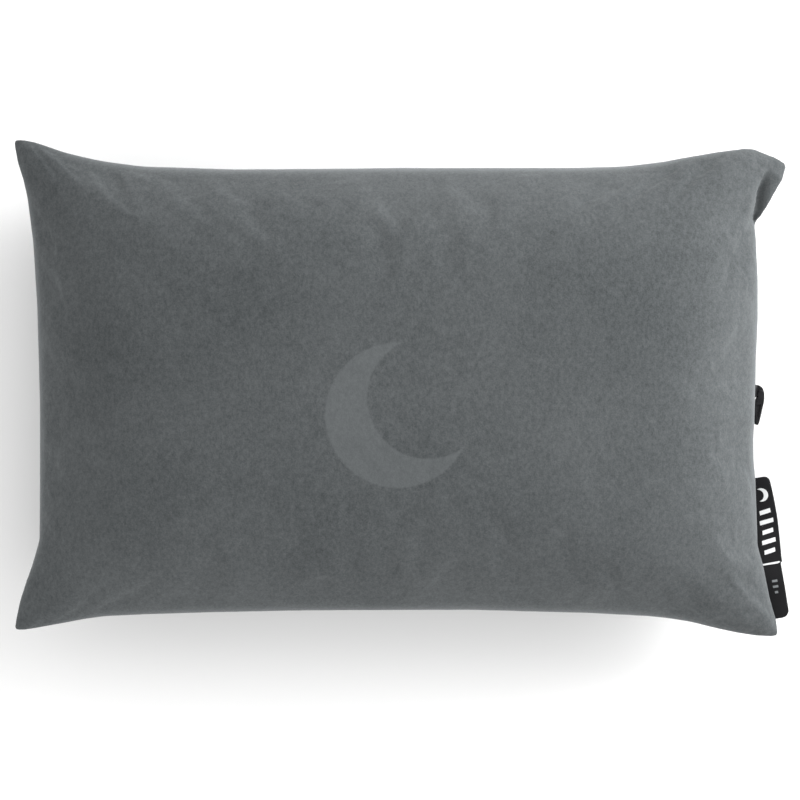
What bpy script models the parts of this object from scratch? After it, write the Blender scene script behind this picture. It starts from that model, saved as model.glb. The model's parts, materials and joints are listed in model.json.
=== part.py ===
"""Inflatable camp pillow: microsuede cover, foam pad, baffled air cell, flat valve and stowed stuff sack.

Metres. +X runs along the pillow, +Y towards its upper edge, +Z out of the sleeping face. The pillow lies on
the flat middle of its back panel, at z = 0. The two panels meet in a seam at the height SEAM.
"""

import math

import bmesh
import bpy
from mathutils import Matrix, Vector

# Cover: overall shape
THICKNESS = 0.102
SEAM = 0.048
HALF_LENGTH = 0.2028
HALF_WIDTH = 0.1245
EDGE_ROUNDING_X = 4.0  # a higher power gives fuller ends
EDGE_ROUNDING_Y = 3.0
FLOOR_SPREAD = 1.12  # how far the back panel's flat middle spreads
COVER_WALL = 0.001
RIM = 0.00065  # each panel's edge, from the seam plane

# How far each corner reaches past the middle of its edges: (along x, along y, power along x)
CORNERS = {
    ("left", "upper"): (0.0144, 0.0167, 3.0),
    ("left", "lower"): (0.0144, 0.0118, 3.0),
    ("right", "lower"): (0.0105, 0.0160, 5.0),
    ("right", "upper"): (0.0105, 0.0108, 8.0),
}
CORNER_POWER_Y = 5.5

# Fillings, from the sleeping face down
GAP = 0.0003
EASE = 0.0008
FOAM = 0.025
FOAM_EDGE = 0.002
CELL_REACH = 0.955  # of the cover's half length and half width
CELL_CORNERS = 0.4  # 0 for square corners, 0.5 for an oval
CELL_WALL = 0.0008
CELL_RIM = 0.0009
BEAMS = (-0.066, -0.022, 0.022, 0.066)
BEAM_WALL = 0.0012
BEAM_REACH = 0.62  # of the cell's half length
BEAM_STEPS = 14

# Zip in the right-hand seam
ZIP_X = 0.1996  # middle of the teeth
ZIP_CLOSED_Y = -0.005
ZIP_OPEN_Y = 0.081
TAPE_LOW_Y = -0.015
TAPE_HIGH_Y = 0.086
TAPE_WALL = 0.0006
TEETH_INNER, TEETH_OUTER = 0.0005, 0.0022
TEETH_DEPTH = 0.0020
TOOTH_PITCH = 0.0028
TAPE_OUTER = 0.0049
ZIP_MOUTH = 0.0053  # half the height of the opening that the tapes fill
SLIDER_LENGTH = 0.0073
SLIDER_HALF = 0.0042
PLATE = 0.0010
ARCH_REACH = 0.0026  # from the plate out to the crossbar of the pull
PULL_LENGTH = 0.0178
PULL_HALF, PULL_TIP = 0.0035, 0.0021  # half its width at the fork, and its tip's radius
PULL_THICKNESS = 0.0022
FORK_REACH = 0.0042  # from the crossbar to the tongue, clear of the arch in every position
CHEEK_HALF = 0.0007

# Label in the same seam
LABEL_LOW_Y, LABEL_HIGH_Y = -0.1290, -0.0505
LABEL_OUTER_X = 0.2140  # the middle of its folded edge
LABEL_WIDTH = 0.0178
LABEL_THICKNESS = 0.0012
LABEL_SLIT = 0.0004
LABEL_LEAN = math.radians(8.0)
LABEL_MOUTH = 0.0014

# Valve, on the underside near the left-hand end; heights run outwards along its axis
VALVE_U = -0.825
VALVE_FLAT_RADIUS = 0.018
VALVE_BLEND_RADIUS = 0.034
SHEET_DEPTH = 0.0014  # from the cover's outer face to the cell's sheet
FLANGE_RADIUS = 0.017
FLANGE_WALL = 0.0008
NECK_RADIUS = 0.008
COLLAR_RADIUS = 0.012
COLLAR_TOP = 0.0018
BORE_RADIUS = 0.006
VALVE_FLOOR = -0.0080  # the floor's upper face; vents and the stem's hole go through it
VALVE_FLOOR_WALL = 0.0012
VENT_CIRCLE, VENT_RADIUS = 0.0037, 0.0009
STEM_RADIUS = 0.0012
STEM_EASE = 0.0005
BUTTON_RADIUS, BUTTON_TOP = 0.0034, -0.0022
FLAP_RADIUS, FLAP_WALL = 0.0056, 0.0006
CAP_RADIUS = 0.0104
CAP_BOTTOM, CAP_TOP = 0.0021, 0.0033
PLUG_REACH = 0.0016  # how far the cap's rim goes down into the bore
HINGE_RADIUS = 0.0138
HINGE_HEIGHT = 0.0038
HINGE_WALL = 0.0015  # from the pin's axis to the outside of the ears and the knuckle
HINGE_BORE = 0.0009
KNUCKLE_HALF = 0.0022
EAR_INNER, EAR_OUTER = 0.0028, 0.0046
SPRING_WIRE = 0.00025

# Corner pocket, upper right
POCKET_SAG = 0.78  # of the back panel's depth
POCKET_WALL = 0.0006
POCKET_LOW, POCKET_SPAN = 0.775, 0.19  # the part of the corner that it lines, in u and in v
CORNER_TURN = math.radians(-58)  # the packet and the lock lie across the corner
SACK_CENTRE = (0.164, 0.101)
SACK_CAGE = (0.060, 0.030, 0.018)
LOCK_CENTRE = (0.187, 0.116)
LOCK_LENGTH = 0.012
LOCK_RADIUS = 0.0042
LOCK_TRAVEL = 0.002
CORD_RADIUS = 0.0010
CORD_ENDS = -0.0085, 0.0096
KNOT = 0.0062, 0.0086
KNOT_SWELL = 1.7

COVER_CELLS = (20, 20)
FILL_CELLS = (16, 10)
TURN_STEPS = 24

COLOURS = {  # linear colour, roughness, metallic
    "microsuede": ((0.135, 0.145, 0.150), 0.90, 0.0),
    "backing": ((0.085, 0.092, 0.097), 0.85, 0.0),
    "foam": ((0.62, 0.60, 0.52), 0.95, 0.0),
    "coated_sheet": ((0.42, 0.43, 0.42), 0.55, 0.0),
    "black_webbing": ((0.012, 0.012, 0.013), 0.75, 0.0),
    "black_moulding": ((0.015, 0.015, 0.016), 0.38, 0.0),
    "zip_teeth": ((0.020, 0.020, 0.021), 0.45, 0.0),
    "silicone": ((0.35, 0.35, 0.34), 0.40, 0.0),
    "steel": ((0.56, 0.56, 0.57), 0.30, 1.0),
    "pocket_mesh": ((0.060, 0.062, 0.064), 0.85, 0.0),
    "sack_nylon": ((0.070, 0.074, 0.078), 0.60, 0.0),
}


# ---------------------------------------------------------------- scene and small helpers


def clear_scene():
    for obj in list(bpy.data.objects):
        bpy.data.objects.remove(obj, do_unlink=True)


def new_collection(name):
    collection = bpy.data.collections.new(name)
    bpy.context.scene.collection.children.link(collection)
    return collection


def material(slot):
    found = bpy.data.materials.get(slot)
    if found:
        return found
    colour, roughness, metallic = COLOURS[slot]
    found = bpy.data.materials.new(slot)
    found.use_nodes = True
    shader = found.node_tree.nodes["Principled BSDF"]
    shader.inputs["Base Color"].default_value = (*colour, 1)
    shader.inputs["Roughness"].default_value = roughness
    shader.inputs["Metallic"].default_value = metallic
    found.diffuse_color = (*colour, 1)
    return found


def add(name, data, slot, frame=None, smooth=True):
    """A part with its material; frame is the matrix that places it."""
    obj = bpy.data.objects.new(name, data)
    data.materials.append(material(slot))
    PARTS.objects.link(obj)
    obj.matrix_world = frame or Matrix()
    if smooth and obj.type == "MESH":
        data.shade_smooth()
        data.set_sharp_from_angle(angle=math.radians(40))
    return obj


def add_cutter(name, data, frame=None):
    obj = bpy.data.objects.new(name, data)
    CUTTERS.objects.link(obj)
    obj.matrix_world = frame or Matrix()
    obj.hide_render = True
    obj.display_type = "WIRE"
    return obj


def boolean(target, helper, operation):
    modifier = target.modifiers.new(helper.name, "BOOLEAN")
    modifier.operation = operation
    modifier.object = helper


def mesh_of_curve(curve):
    """The mesh of a curve, which is then gone."""
    holder = bpy.data.objects.new(curve.name, curve)
    PARTS.objects.link(holder)
    bpy.context.view_layer.update()
    mesh = bpy.data.meshes.new_from_object(holder.evaluated_get(bpy.context.evaluated_depsgraph_get()))
    bpy.data.objects.remove(holder)
    return mesh


def mesh_from(name, bm):
    mesh = bpy.data.meshes.new(name)
    bm.to_mesh(mesh)
    bm.free()
    return mesh


def box_mesh(name, low, high, bevel=0.0):
    """A box between two corners, its edges rounded by one bevel."""
    bm = bmesh.new()
    bmesh.ops.create_cube(bm, size=1)
    low, high = Vector(low), Vector(high)
    bmesh.ops.scale(bm, vec=high - low, verts=bm.verts)
    bmesh.ops.translate(bm, vec=(low + high) / 2, verts=bm.verts)
    if bevel:
        bmesh.ops.bevel(bm, geom=bm.edges[:], offset=bevel, segments=2, affect="EDGES", profile=0.5)
    return mesh_from(name, bm)


def rod_mesh(name, radius, start, end, sides=16):
    """A cylinder between two points."""
    start, end = Vector(start), Vector(end)
    along = end - start
    turn = Vector((0, 0, 1)).rotation_difference(along.normalized()).to_matrix().to_4x4()
    bm = bmesh.new()
    bmesh.ops.create_cone(
        bm, cap_ends=True, segments=sides, radius1=radius, radius2=radius, depth=along.length
    )
    bmesh.ops.transform(bm, matrix=Matrix.Translation((start + end) / 2) @ turn, verts=bm.verts)
    return mesh_from(name, bm)


def turned(name, profile, slot, frame, ring=True):
    """A turned piece. The (radius, height) profile runs down the outer side; a ring's closes on itself."""
    mesh = bpy.data.meshes.new(name)
    count = len(profile)
    edges = [(i, (i + 1) % count) for i in range(count if ring else count - 1)]
    mesh.from_pydata([(radius, 0, height) for radius, height in profile], edges, [])
    obj = add(name, mesh, slot, frame, smooth=False)
    turn = obj.modifiers.new("Turn", "SCREW")
    turn.steps = turn.render_steps = TURN_STEPS
    turn.use_merge_vertices = True
    turn.merge_threshold = 0.00001
    turn.use_smooth_shade = True
    return obj


def wire(name, points, radius, slot, frame=None, widths=None):
    """A round wire along a list of points; widths scale its radius at each point."""
    curve = bpy.data.curves.new(name, "CURVE")
    curve.dimensions = "3D"
    curve.bevel_depth = radius
    curve.bevel_resolution = 2
    curve.use_fill_caps = True
    spline = curve.splines.new("POLY")
    spline.points.add(len(points) - 1)
    for i, point in enumerate(points):
        spline.points[i].co = (*point, 1)
        spline.points[i].radius = widths[i] if widths else 1
    return add(name, curve, slot, frame)


def flat_curve(name, points, thickness):
    """A filled outline, extruded to a thickness about its own plane."""
    curve = bpy.data.curves.new(name, "CURVE")
    curve.dimensions = "2D"
    curve.fill_mode = "BOTH"
    curve.extrude = thickness / 2
    spline = curve.splines.new("POLY")
    spline.points.add(len(points) - 1)
    spline.use_cyclic_u = True
    for point, (x, y) in zip(spline.points, points):
        point.co = (x, y, 0, 1)
    return curve


def helix(radius, bottom, top, turns, points_per_turn=8):
    count = round(turns * points_per_turn)
    return [
        (
            radius * math.cos(2 * math.pi * i / points_per_turn),
            radius * math.sin(2 * math.pi * i / points_per_turn),
            bottom + (top - bottom) * i / count,
        )
        for i in range(count + 1)
    ]


def smoothstep(edge0, edge1, value):
    t = min(max((value - edge0) / (edge1 - edge0), 0), 1)
    return t * t * (3 - 2 * t)


def bump(low, high, fade, value):
    """1 between low and high, fading to 0 over fade on each side."""
    return smoothstep(low - fade, low, value) * (1 - smoothstep(high, high + fade, value))


# ---------------------------------------------------------------- the pillow's surface


def outline(u, v):
    """Where (u, v), each from -1 to 1, lies in plan; the edges bow in between pointed corners."""
    corner = ("right" if u > 0 else "left", "upper" if v > 0 else "lower")
    reach_x, reach_y, power = CORNERS[corner]
    x = u * (HALF_LENGTH + reach_x * abs(v) ** power)
    y = v * (HALF_WIDTH + reach_y * abs(u) ** CORNER_POWER_Y)
    return x, y


def fullness(u, v):
    """How far the pillow is blown up at (u, v): 0 along the seam and 1 in the middle."""
    across_x = max(1 - abs(u) ** EDGE_ROUNDING_X, 0)
    across_y = max(1 - abs(v) ** EDGE_ROUNDING_Y, 0)
    return math.sqrt(across_x * across_y)


def mouth(u, y):
    """Extra height of a panel's edge where the zip and the label pass through the seam."""
    near_end = smoothstep(0.9, 1, u)
    zip_part = (ZIP_MOUTH - RIM) * bump(TAPE_LOW_Y - 0.006, TAPE_HIGH_Y + 0.004, 0.010, y)
    label_part = (LABEL_MOUTH - RIM) * bump(LABEL_LOW_Y - 0.006, LABEL_HIGH_Y + 0.014, 0.006, y)
    return near_end * (zip_part + label_part)


def inset_point(u, v, wall):
    x, y = outline(u, v)
    return x * (1 - wall / HALF_LENGTH), y * (1 - wall / HALF_WIDTH)


def edge_height(u, v, wall):
    """Distance from the seam plane of a panel's rim: of its outer face, or of its inner one for a wall."""
    return mouth(u, outline(u, v)[1]) + (GAP / 2 if wall else RIM)


def front_height(u, v, wall=0.0):
    """Height above the seam plane of the front panel's skin, wall metres inside its outer face."""
    low = edge_height(u, v, wall)
    return low + (THICKNESS - SEAM - wall - low) * fullness(u, v)


def back_depth(u, v, wall=0.0):
    """Depth of the back panel's skin below the seam plane, with its flat middle on the floor."""
    low = edge_height(u, v, wall)
    return low + (SEAM - wall - low) * min(1, FLOOR_SPREAD * fullness(u, v))


def front_point(u, v, wall=0.0):
    return Vector((*inset_point(u, v, wall), SEAM + front_height(u, v, wall)))


def back_point(u, v, wall=0.0):
    return Vector((*inset_point(u, v, wall), SEAM - back_depth(u, v, wall)))


def valve_frame():
    """Its origin is on the cover's outer face and its +Z is the valve's axis, pointing outwards."""
    step = 0.02
    slope = back_point(VALVE_U + step, 0) - back_point(VALVE_U - step, 0)
    normal = Vector((slope.z, 0, -slope.x)).normalized()
    across = Vector((0, 1, 0))
    upward = across.cross(normal)
    turn = Matrix((upward, across, normal)).transposed().to_4x4()
    return Matrix.Translation(back_point(VALVE_U, 0)) @ turn


def flattened(point, height):
    """A skin's point, drawn onto the valve's plane at this height where it is near the valve."""
    local = VALVE_PLACE.inverted() @ point
    nearness = 1 - smoothstep(VALVE_FLAT_RADIUS, VALVE_BLEND_RADIUS, math.hypot(local.x, local.y))
    local.z += nearness * (height - local.z)
    return VALVE_PLACE @ local


# ---------------------------------------------------------------- skins and fillings


def skin(name, outer, inner, cells, slot, spacing=None):
    """A closed layer between two surfaces, each a function of (u, v), joined along their rims."""
    spacing = spacing or (lambda t: math.sin(math.pi / 2 * t))
    bm = bmesh.new()
    bmesh.ops.create_grid(bm, x_segments=cells[0], y_segments=cells[1], size=1)
    copied = bmesh.ops.duplicate(bm, geom=bm.verts[:] + bm.edges[:] + bm.faces[:])["geom"]
    inner_verts = {item for item in copied if isinstance(item, bmesh.types.BMVert)}
    for vert in bm.verts:
        surface = inner if vert in inner_verts else outer
        vert.co = surface(spacing(vert.co.x), spacing(vert.co.y))
    bmesh.ops.bridge_loops(bm, edges=[edge for edge in bm.edges if edge.is_boundary])
    bmesh.ops.recalc_face_normals(bm, faces=bm.faces)
    return add(name, mesh_from(name, bm), slot)


def cell_uv(s, t):
    """(u, v) of the air cell's (s, t): the cell fills the cover but for its corners."""
    u = CELL_REACH * s * math.sqrt(1 - CELL_CORNERS * t * t)
    v = CELL_REACH * t * math.sqrt(1 - CELL_CORNERS * s * s)
    return u, v


def swell(s, t):
    """How far the fillings swell between their rim, 0, and their middle, 1."""
    return (1 - abs(s) ** 8) * (1 - abs(t) ** 6)


def layer_point(s, t, height):
    u, v = cell_uv(s, t)
    x, y = outline(u, v)
    return Vector((x, y, SEAM + height))


def foam_top(s, t):
    """Height of the foam's upper face above the seam plane."""
    low = CELL_RIM + CELL_WALL + GAP + FOAM_EDGE
    ceiling = front_height(*cell_uv(s, t), COVER_WALL) - EASE
    return low + (ceiling - low) * swell(s, t)


def foam_bottom(s, t):
    return foam_top(s, t) - FOAM_EDGE - (FOAM - FOAM_EDGE) * swell(s, t)


def cell_ceiling(s, t):
    """Height of the lower face of the air cell's top sheet."""
    return foam_bottom(s, t) - GAP - CELL_WALL


def cell_floor(s, t):
    """Height of the upper face of the air cell's bottom sheet."""
    high = CELL_RIM - GAP
    floor = EASE + CELL_WALL - back_depth(*cell_uv(s, t), COVER_WALL)
    return high + (floor - high) * swell(s, t)


def bottom_sheet_inner(s, t):
    return flattened(layer_point(s, t, cell_floor(s, t)), -SHEET_DEPTH - CELL_WALL)


def bottom_sheet_outer(s, t):
    return flattened(layer_point(s, t, cell_floor(s, t) - CELL_WALL), -SHEET_DEPTH)


def even(t):
    return t


def build_cover():
    skin(
        "cover_front_panel",
        front_point,
        lambda u, v: front_point(u, v, COVER_WALL),
        COVER_CELLS,
        "microsuede",
    )
    back = skin(
        "cover_back_panel",
        lambda u, v: flattened(back_point(u, v), 0),
        lambda u, v: flattened(back_point(u, v, COVER_WALL), -COVER_WALL),
        COVER_CELLS,
        "backing",
    )
    hole = rod_mesh("valve_opening", NECK_RADIUS + GAP, (0, 0, -0.006), (0, 0, 0.006), TURN_STEPS)
    boolean(back, add_cutter("valve_opening", hole, VALVE_PLACE), "DIFFERENCE")


def build_fillings():
    skin(
        "foam_pad",
        lambda s, t: layer_point(s, t, foam_top(s, t)),
        lambda s, t: layer_point(s, t, foam_bottom(s, t)),
        FILL_CELLS,
        "foam",
        even,
    )
    skin(
        "cell_top_sheet",
        lambda s, t: layer_point(s, t, foam_bottom(s, t) - GAP),
        lambda s, t: layer_point(s, t, cell_ceiling(s, t)),
        FILL_CELLS,
        "coated_sheet",
        even,
    )
    bottom = skin(
        "cell_bottom_sheet",
        bottom_sheet_inner,
        bottom_sheet_outer,
        FILL_CELLS,
        "coated_sheet",
        even,
    )
    hole = rod_mesh("sheet_opening", FLANGE_RADIUS + EASE, (0, 0, -0.025), (0, 0, 0.006), TURN_STEPS)
    boolean(bottom, add_cutter("sheet_opening", hole, VALVE_PLACE), "DIFFERENCE")
    for number, y in enumerate(BEAMS, 1):
        build_beam(f"cell_beam_{number}", y)


def on_facets(height, s, t):
    """height(s, t) as the sheets' facets have it, interpolated between their grid lines."""
    column, row = (s + 1) / 2 * FILL_CELLS[0], (t + 1) / 2 * FILL_CELLS[1]
    left, low = math.floor(column), math.floor(row)
    total = 0
    for i, weight_i in ((left, 1 - column + left), (left + 1, column - left)):
        for j, weight_j in ((low, 1 - row + low), (low + 1, row - low)):
            corner = height(2 * i / FILL_CELLS[0] - 1, 2 * j / FILL_CELLS[1] - 1)
            total += weight_i * weight_j * corner
    return total


def build_beam(name, y):
    """A lengthwise wall between the air cell's sheets, with its ends short of the cell's."""
    bm = bmesh.new()
    bmesh.ops.create_grid(bm, x_segments=BEAM_STEPS, y_segments=1, size=1)
    clear = 4 * GAP
    t = y / (CELL_REACH * HALF_WIDTH)
    for vert in bm.verts:
        s = vert.co.x * BEAM_REACH
        row = t / math.sqrt(1 - CELL_CORNERS * s * s)
        if vert.co.y > 0:
            height = on_facets(cell_ceiling, s, row) - clear
        else:
            height = on_facets(cell_floor, s, row) + clear
        x = cell_uv(s, row)[0] * HALF_LENGTH
        vert.co = (x, y - BEAM_WALL / 2, SEAM + height)
    beam = add(name, mesh_from(name, bm), "coated_sheet", smooth=False)
    wall = beam.modifiers.new("Wall", "SOLIDIFY")
    wall.thickness = BEAM_WALL
    wall.offset = 1


# ---------------------------------------------------------------- zip and label


def build_zip():
    for side, sign in (("front", 1), ("back", -1)):
        build_tape(f"zip_tape_{side}", sign)
        build_teeth(f"zip_teeth_{side}", sign)
        build_stop(f"zip_top_stop_{side}", sign)
    low = (ZIP_X - TEETH_DEPTH / 2 - 0.0004, ZIP_OPEN_Y, SEAM - TEETH_OUTER)
    high = (ZIP_X + TEETH_DEPTH / 2 + 0.0004, ZIP_OPEN_Y + 0.0022, SEAM + TEETH_OUTER)
    add("zip_bottom_stop", box_mesh("zip_bottom_stop", low, high, 0.0003), "steel")
    build_slider()
    build_pull()


def sorted_corners(first, second):
    low = [min(pair) for pair in zip(first, second)]
    high = [max(pair) for pair in zip(first, second)]
    return low, high


def build_tape(name, sign):
    low, high = sorted_corners(
        (ZIP_X - TAPE_WALL / 2, TAPE_LOW_Y, SEAM + sign * (TEETH_OUTER + GAP)),
        (ZIP_X + TAPE_WALL / 2, TAPE_HIGH_Y, SEAM + sign * TAPE_OUTER),
    )
    add(name, box_mesh(name, low, high), "black_webbing", smooth=False)


def build_teeth(name, sign):
    """One row of teeth: a comb, cut from a flat strip, whose gaps open towards the other row."""
    start, end = ZIP_CLOSED_Y - 0.0004, ZIP_OPEN_Y - 0.0004
    count = int((end - start) / TOOTH_PITCH)
    root = TEETH_INNER + 0.55 * (TEETH_OUTER - TEETH_INNER)
    points = [(start, TEETH_OUTER)]
    for i in range(count):
        y = start + i * TOOTH_PITCH
        points += [
            (y, TEETH_INNER),
            (y + 0.6 * TOOTH_PITCH, TEETH_INNER),
            (y + 0.6 * TOOTH_PITCH, root),
            (y + TOOTH_PITCH, root),
        ]
    points.append((start + count * TOOTH_PITCH, TEETH_OUTER))
    curve = flat_curve(name, [(y, sign * z) for y, z in points], TEETH_DEPTH)
    upright = Matrix(((0, 0, 1, ZIP_X), (1, 0, 0, 0), (0, 1, 0, SEAM), (0, 0, 0, 1)))
    add(name, curve, "zip_teeth", upright)


def build_stop(name, sign):
    low, high = sorted_corners(
        (ZIP_X - TEETH_DEPTH / 2 - 0.0003, ZIP_CLOSED_Y - 0.0026, SEAM + sign * 0.0004),
        (ZIP_X + TEETH_DEPTH / 2 + 0.0001, ZIP_CLOSED_Y - 0.0008, SEAM + sign * TEETH_OUTER),
    )
    add(name, box_mesh(name, low, high, 0.0002), "steel")


def build_slider():
    """Two plates round the chain, the post between its rows, side flanges and the arch for the pull."""
    outer = ZIP_X + TEETH_DEPTH / 2 + 0.0003
    inner = ZIP_X - TEETH_DEPTH / 2 - 0.0003
    low_y, high_y = ZIP_CLOSED_Y, ZIP_CLOSED_Y + SLIDER_LENGTH
    plate = box_mesh(
        "zip_slider",
        (outer, low_y, SEAM - SLIDER_HALF),
        (outer + PLATE, high_y, SEAM + SLIDER_HALF),
        0.0004,
    )
    slider = add("zip_slider", plate, "black_moulding")
    back_plate = box_mesh(
        "slider_back_plate",
        (inner - PLATE, low_y + 0.0004, SEAM - SLIDER_HALF + 0.0006),
        (inner, high_y - 0.0004, SEAM + SLIDER_HALF - 0.0006),
        0.0002,
    )
    post = box_mesh(
        "slider_post",
        (inner - PLATE / 2, high_y - 0.0026, SEAM - 0.0002),
        (outer + PLATE / 2, high_y - 0.0010, SEAM + 0.0002),
    )
    helpers = [add_cutter("slider_back_plate", back_plate), add_cutter("slider_post", post)]
    for side, sign in (("front", 1), ("back", -1)):
        low, high = sorted_corners(
            (outer - 0.0007, low_y + 0.0006, SEAM + sign * (SLIDER_HALF - 0.0011)),
            (outer + PLATE / 2, high_y - 0.0006, SEAM + sign * (SLIDER_HALF - 0.0002)),
        )
        flange = box_mesh(f"slider_flange_{side}", low, high)
        helpers.append(add_cutter(f"slider_flange_{side}", flange))
    arch = box_mesh(
        "slider_arch",
        (outer + PLATE / 2, PULL_AXIS.y - 0.0020, SEAM - 0.0009),
        (PULL_AXIS.x + 0.0017, PULL_AXIS.y + 0.0032, SEAM + 0.0009),
        0.0003,
    )
    arch_object = add_cutter("slider_arch", arch)
    window = box_mesh(
        "slider_arch_window",
        (outer + PLATE, PULL_AXIS.y - 0.0010, SEAM - 0.003),
        (PULL_AXIS.x + 0.0010, PULL_AXIS.y + 0.0022, SEAM + 0.003),
    )
    boolean(arch_object, add_cutter("slider_arch_window", window), "DIFFERENCE")
    for helper in [*helpers, arch_object]:
        boolean(slider, helper, "UNION")


def build_pull():
    """A moulded tongue that tapers to a rounded tip, on a forked end round a crossbar in the arch.

    Its own origin is on the crossbar's axis; it hangs towards -Y.
    """
    tip = [math.pi * i / 8 for i in range(9)]
    points = [(-PULL_HALF, -FORK_REACH), (PULL_HALF, -FORK_REACH)]
    points += [
        (PULL_TIP * math.cos(angle), -PULL_LENGTH + PULL_TIP - PULL_TIP * math.sin(angle)) for angle in tip
    ]
    mesh = mesh_of_curve(flat_curve("pull_tongue", points, PULL_THICKNESS))
    bm = bmesh.new()
    bm.from_mesh(mesh)
    bmesh.ops.remove_doubles(bm, verts=bm.verts, dist=0.00001)
    facing = Matrix(((0, 0, 1, 0), (0, 1, 0, 0), (1, 0, 0, 0), (0, 0, 0, 1)))
    bmesh.ops.transform(bm, matrix=facing, verts=bm.verts)
    bmesh.ops.recalc_face_normals(bm, faces=bm.faces)
    place = Matrix.Translation(PULL_AXIS)
    pull = add("zip_pull", mesh_from("zip_pull", bm), "black_moulding", place)
    for side, sign in (("front", 1), ("back", -1)):
        low, high = sorted_corners(
            (-CHEEK_HALF, -FORK_REACH - 0.001, sign * 0.0013),
            (CHEEK_HALF, CHEEK_HALF, sign * 0.0026),
        )
        cheek = add_cutter(f"pull_cheek_{side}", box_mesh(f"pull_cheek_{side}", low, high), place)
        boolean(pull, cheek, "UNION")
    bar = rod_mesh("pull_crossbar", 0.0005, (0, 0, -0.0020), (0, 0, 0.0020), 12)
    boolean(pull, add_cutter("pull_crossbar", bar, place), "UNION")


def folded_section(left, right, half, steps=6):
    """The outline of one side of a fold: straight legs from left, joined by a half circle at right."""
    turn = [math.pi / 2 - math.pi * i / steps for i in range(steps + 1)]
    arc = [(right - half + half * math.cos(angle), half * math.sin(angle)) for angle in turn]
    return [(left, half), *arc, (left, -half)]


def build_label():
    """A webbing strip folded over, its two cut ends held in the seam and its fold outermost."""
    length = (LABEL_HIGH_Y - LABEL_LOW_Y) / math.cos(LABEL_LEAN)
    outer = folded_section(-LABEL_WIDTH, 0, LABEL_THICKNESS / 2)
    inner = folded_section(-LABEL_WIDTH, LABEL_SLIT / 2 - LABEL_THICKNESS / 2, LABEL_SLIT / 2)
    lean = Matrix.Rotation(LABEL_LEAN, 4, "Z")
    upright = Matrix(((1, 0, 0, 0), (0, 0, -1, 0), (0, 1, 0, 0), (0, 0, 0, 1)))
    middle = Matrix.Translation((LABEL_OUTER_X, (LABEL_LOW_Y + LABEL_HIGH_Y) / 2, SEAM))
    curve = flat_curve("side_label", outer + inner[::-1], length)
    add("side_label", curve, "black_webbing", middle @ lean @ upright)


# ---------------------------------------------------------------- valve


def build_valve():
    """The flange welded in the cell's sheet, the body with its hinge ears, and the pieces in it."""
    flange_top = -SHEET_DEPTH - EASE
    turned(
        "valve_flange",
        [
            (NECK_RADIUS + GAP, flange_top),
            (FLANGE_RADIUS, flange_top),
            (FLANGE_RADIUS, flange_top - FLANGE_WALL),
            (NECK_RADIUS + GAP, flange_top - FLANGE_WALL),
        ],
        "coated_sheet",
        VALVE_PLACE,
    )
    chamfer = 0.0006
    body = turned(
        "valve_body",
        [
            (BORE_RADIUS, COLLAR_TOP),
            (COLLAR_RADIUS - chamfer, COLLAR_TOP),
            (COLLAR_RADIUS, COLLAR_TOP - chamfer),
            (COLLAR_RADIUS, GAP),
            (NECK_RADIUS, GAP),
            (NECK_RADIUS, VALVE_FLOOR - VALVE_FLOOR_WALL),
            (STEM_RADIUS + STEM_EASE, VALVE_FLOOR - VALVE_FLOOR_WALL),
            (STEM_RADIUS + STEM_EASE, VALVE_FLOOR),
            (BORE_RADIUS, VALVE_FLOOR),
        ],
        "black_moulding",
        VALVE_PLACE,
    )
    for side, sign in (("left", -1), ("right", 1)):
        low, high = sorted_corners(
            (COLLAR_RADIUS - 0.0015, sign * EAR_INNER, 0.0004),
            (HINGE_RADIUS + HINGE_WALL, sign * EAR_OUTER, HINGE_HEIGHT + HINGE_WALL),
        )
        ear = add_cutter(f"valve_ear_{side}", box_mesh(f"valve_ear_{side}", low, high), VALVE_PLACE)
        boolean(body, ear, "UNION")
    drill = rod_mesh("hinge_drill", HINGE_BORE, (0, -0.008, 0), (0, 0.008, 0))
    boolean(body, add_cutter("hinge_drill", drill, hinge_place()), "DIFFERENCE")
    for number in range(4):
        angle = math.pi / 4 + number * math.pi / 2
        x, y = VENT_CIRCLE * math.cos(angle), VENT_CIRCLE * math.sin(angle)
        low, high = (x, y, VALVE_FLOOR - 0.003), (x, y, VALVE_FLOOR + 0.002)
        vent = rod_mesh(f"vent_{number}", VENT_RADIUS, low, high, 8)
        boolean(body, add_cutter(f"vent_{number}", vent, VALVE_PLACE), "DIFFERENCE")
    build_stem()
    build_cap()


def hinge_place():
    """The frame of the cap's pin, whose axis is its Y."""
    return VALVE_PLACE @ Matrix.Translation((HINGE_RADIUS, 0, HINGE_HEIGHT))


def build_stem():
    """The button, its rod through the valve's floor, the flap under the floor and the return spring."""
    flap_top = VALVE_FLOOR - VALVE_FLOOR_WALL - GAP
    knob_top = flap_top - FLAP_WALL - GAP
    knob_radius = 0.0022
    turned(
        "valve_stem",
        [
            (0, BUTTON_TOP),
            (BUTTON_RADIUS - 0.0004, BUTTON_TOP),
            (BUTTON_RADIUS, BUTTON_TOP - 0.0004),
            (BUTTON_RADIUS, BUTTON_TOP - 0.0014),
            (STEM_RADIUS, BUTTON_TOP - 0.0014),
            (STEM_RADIUS, knob_top),
            (knob_radius, knob_top),
            (knob_radius, knob_top - 0.0012),
            (0, knob_top - 0.0012),
        ],
        "black_moulding",
        VALVE_PLACE,
        ring=False,
    )
    turned(
        "valve_diaphragm",
        [
            (STEM_RADIUS + GAP, flap_top),
            (FLAP_RADIUS, flap_top),
            (FLAP_RADIUS, flap_top - FLAP_WALL),
            (STEM_RADIUS + GAP, flap_top - FLAP_WALL),
        ],
        "silicone",
        VALVE_PLACE,
    )
    coil = helix(0.0022, VALVE_FLOOR + 0.0006, BUTTON_TOP - 0.0020, 3)
    wire("valve_spring", coil, SPRING_WIRE, "steel", VALVE_PLACE)


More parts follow.
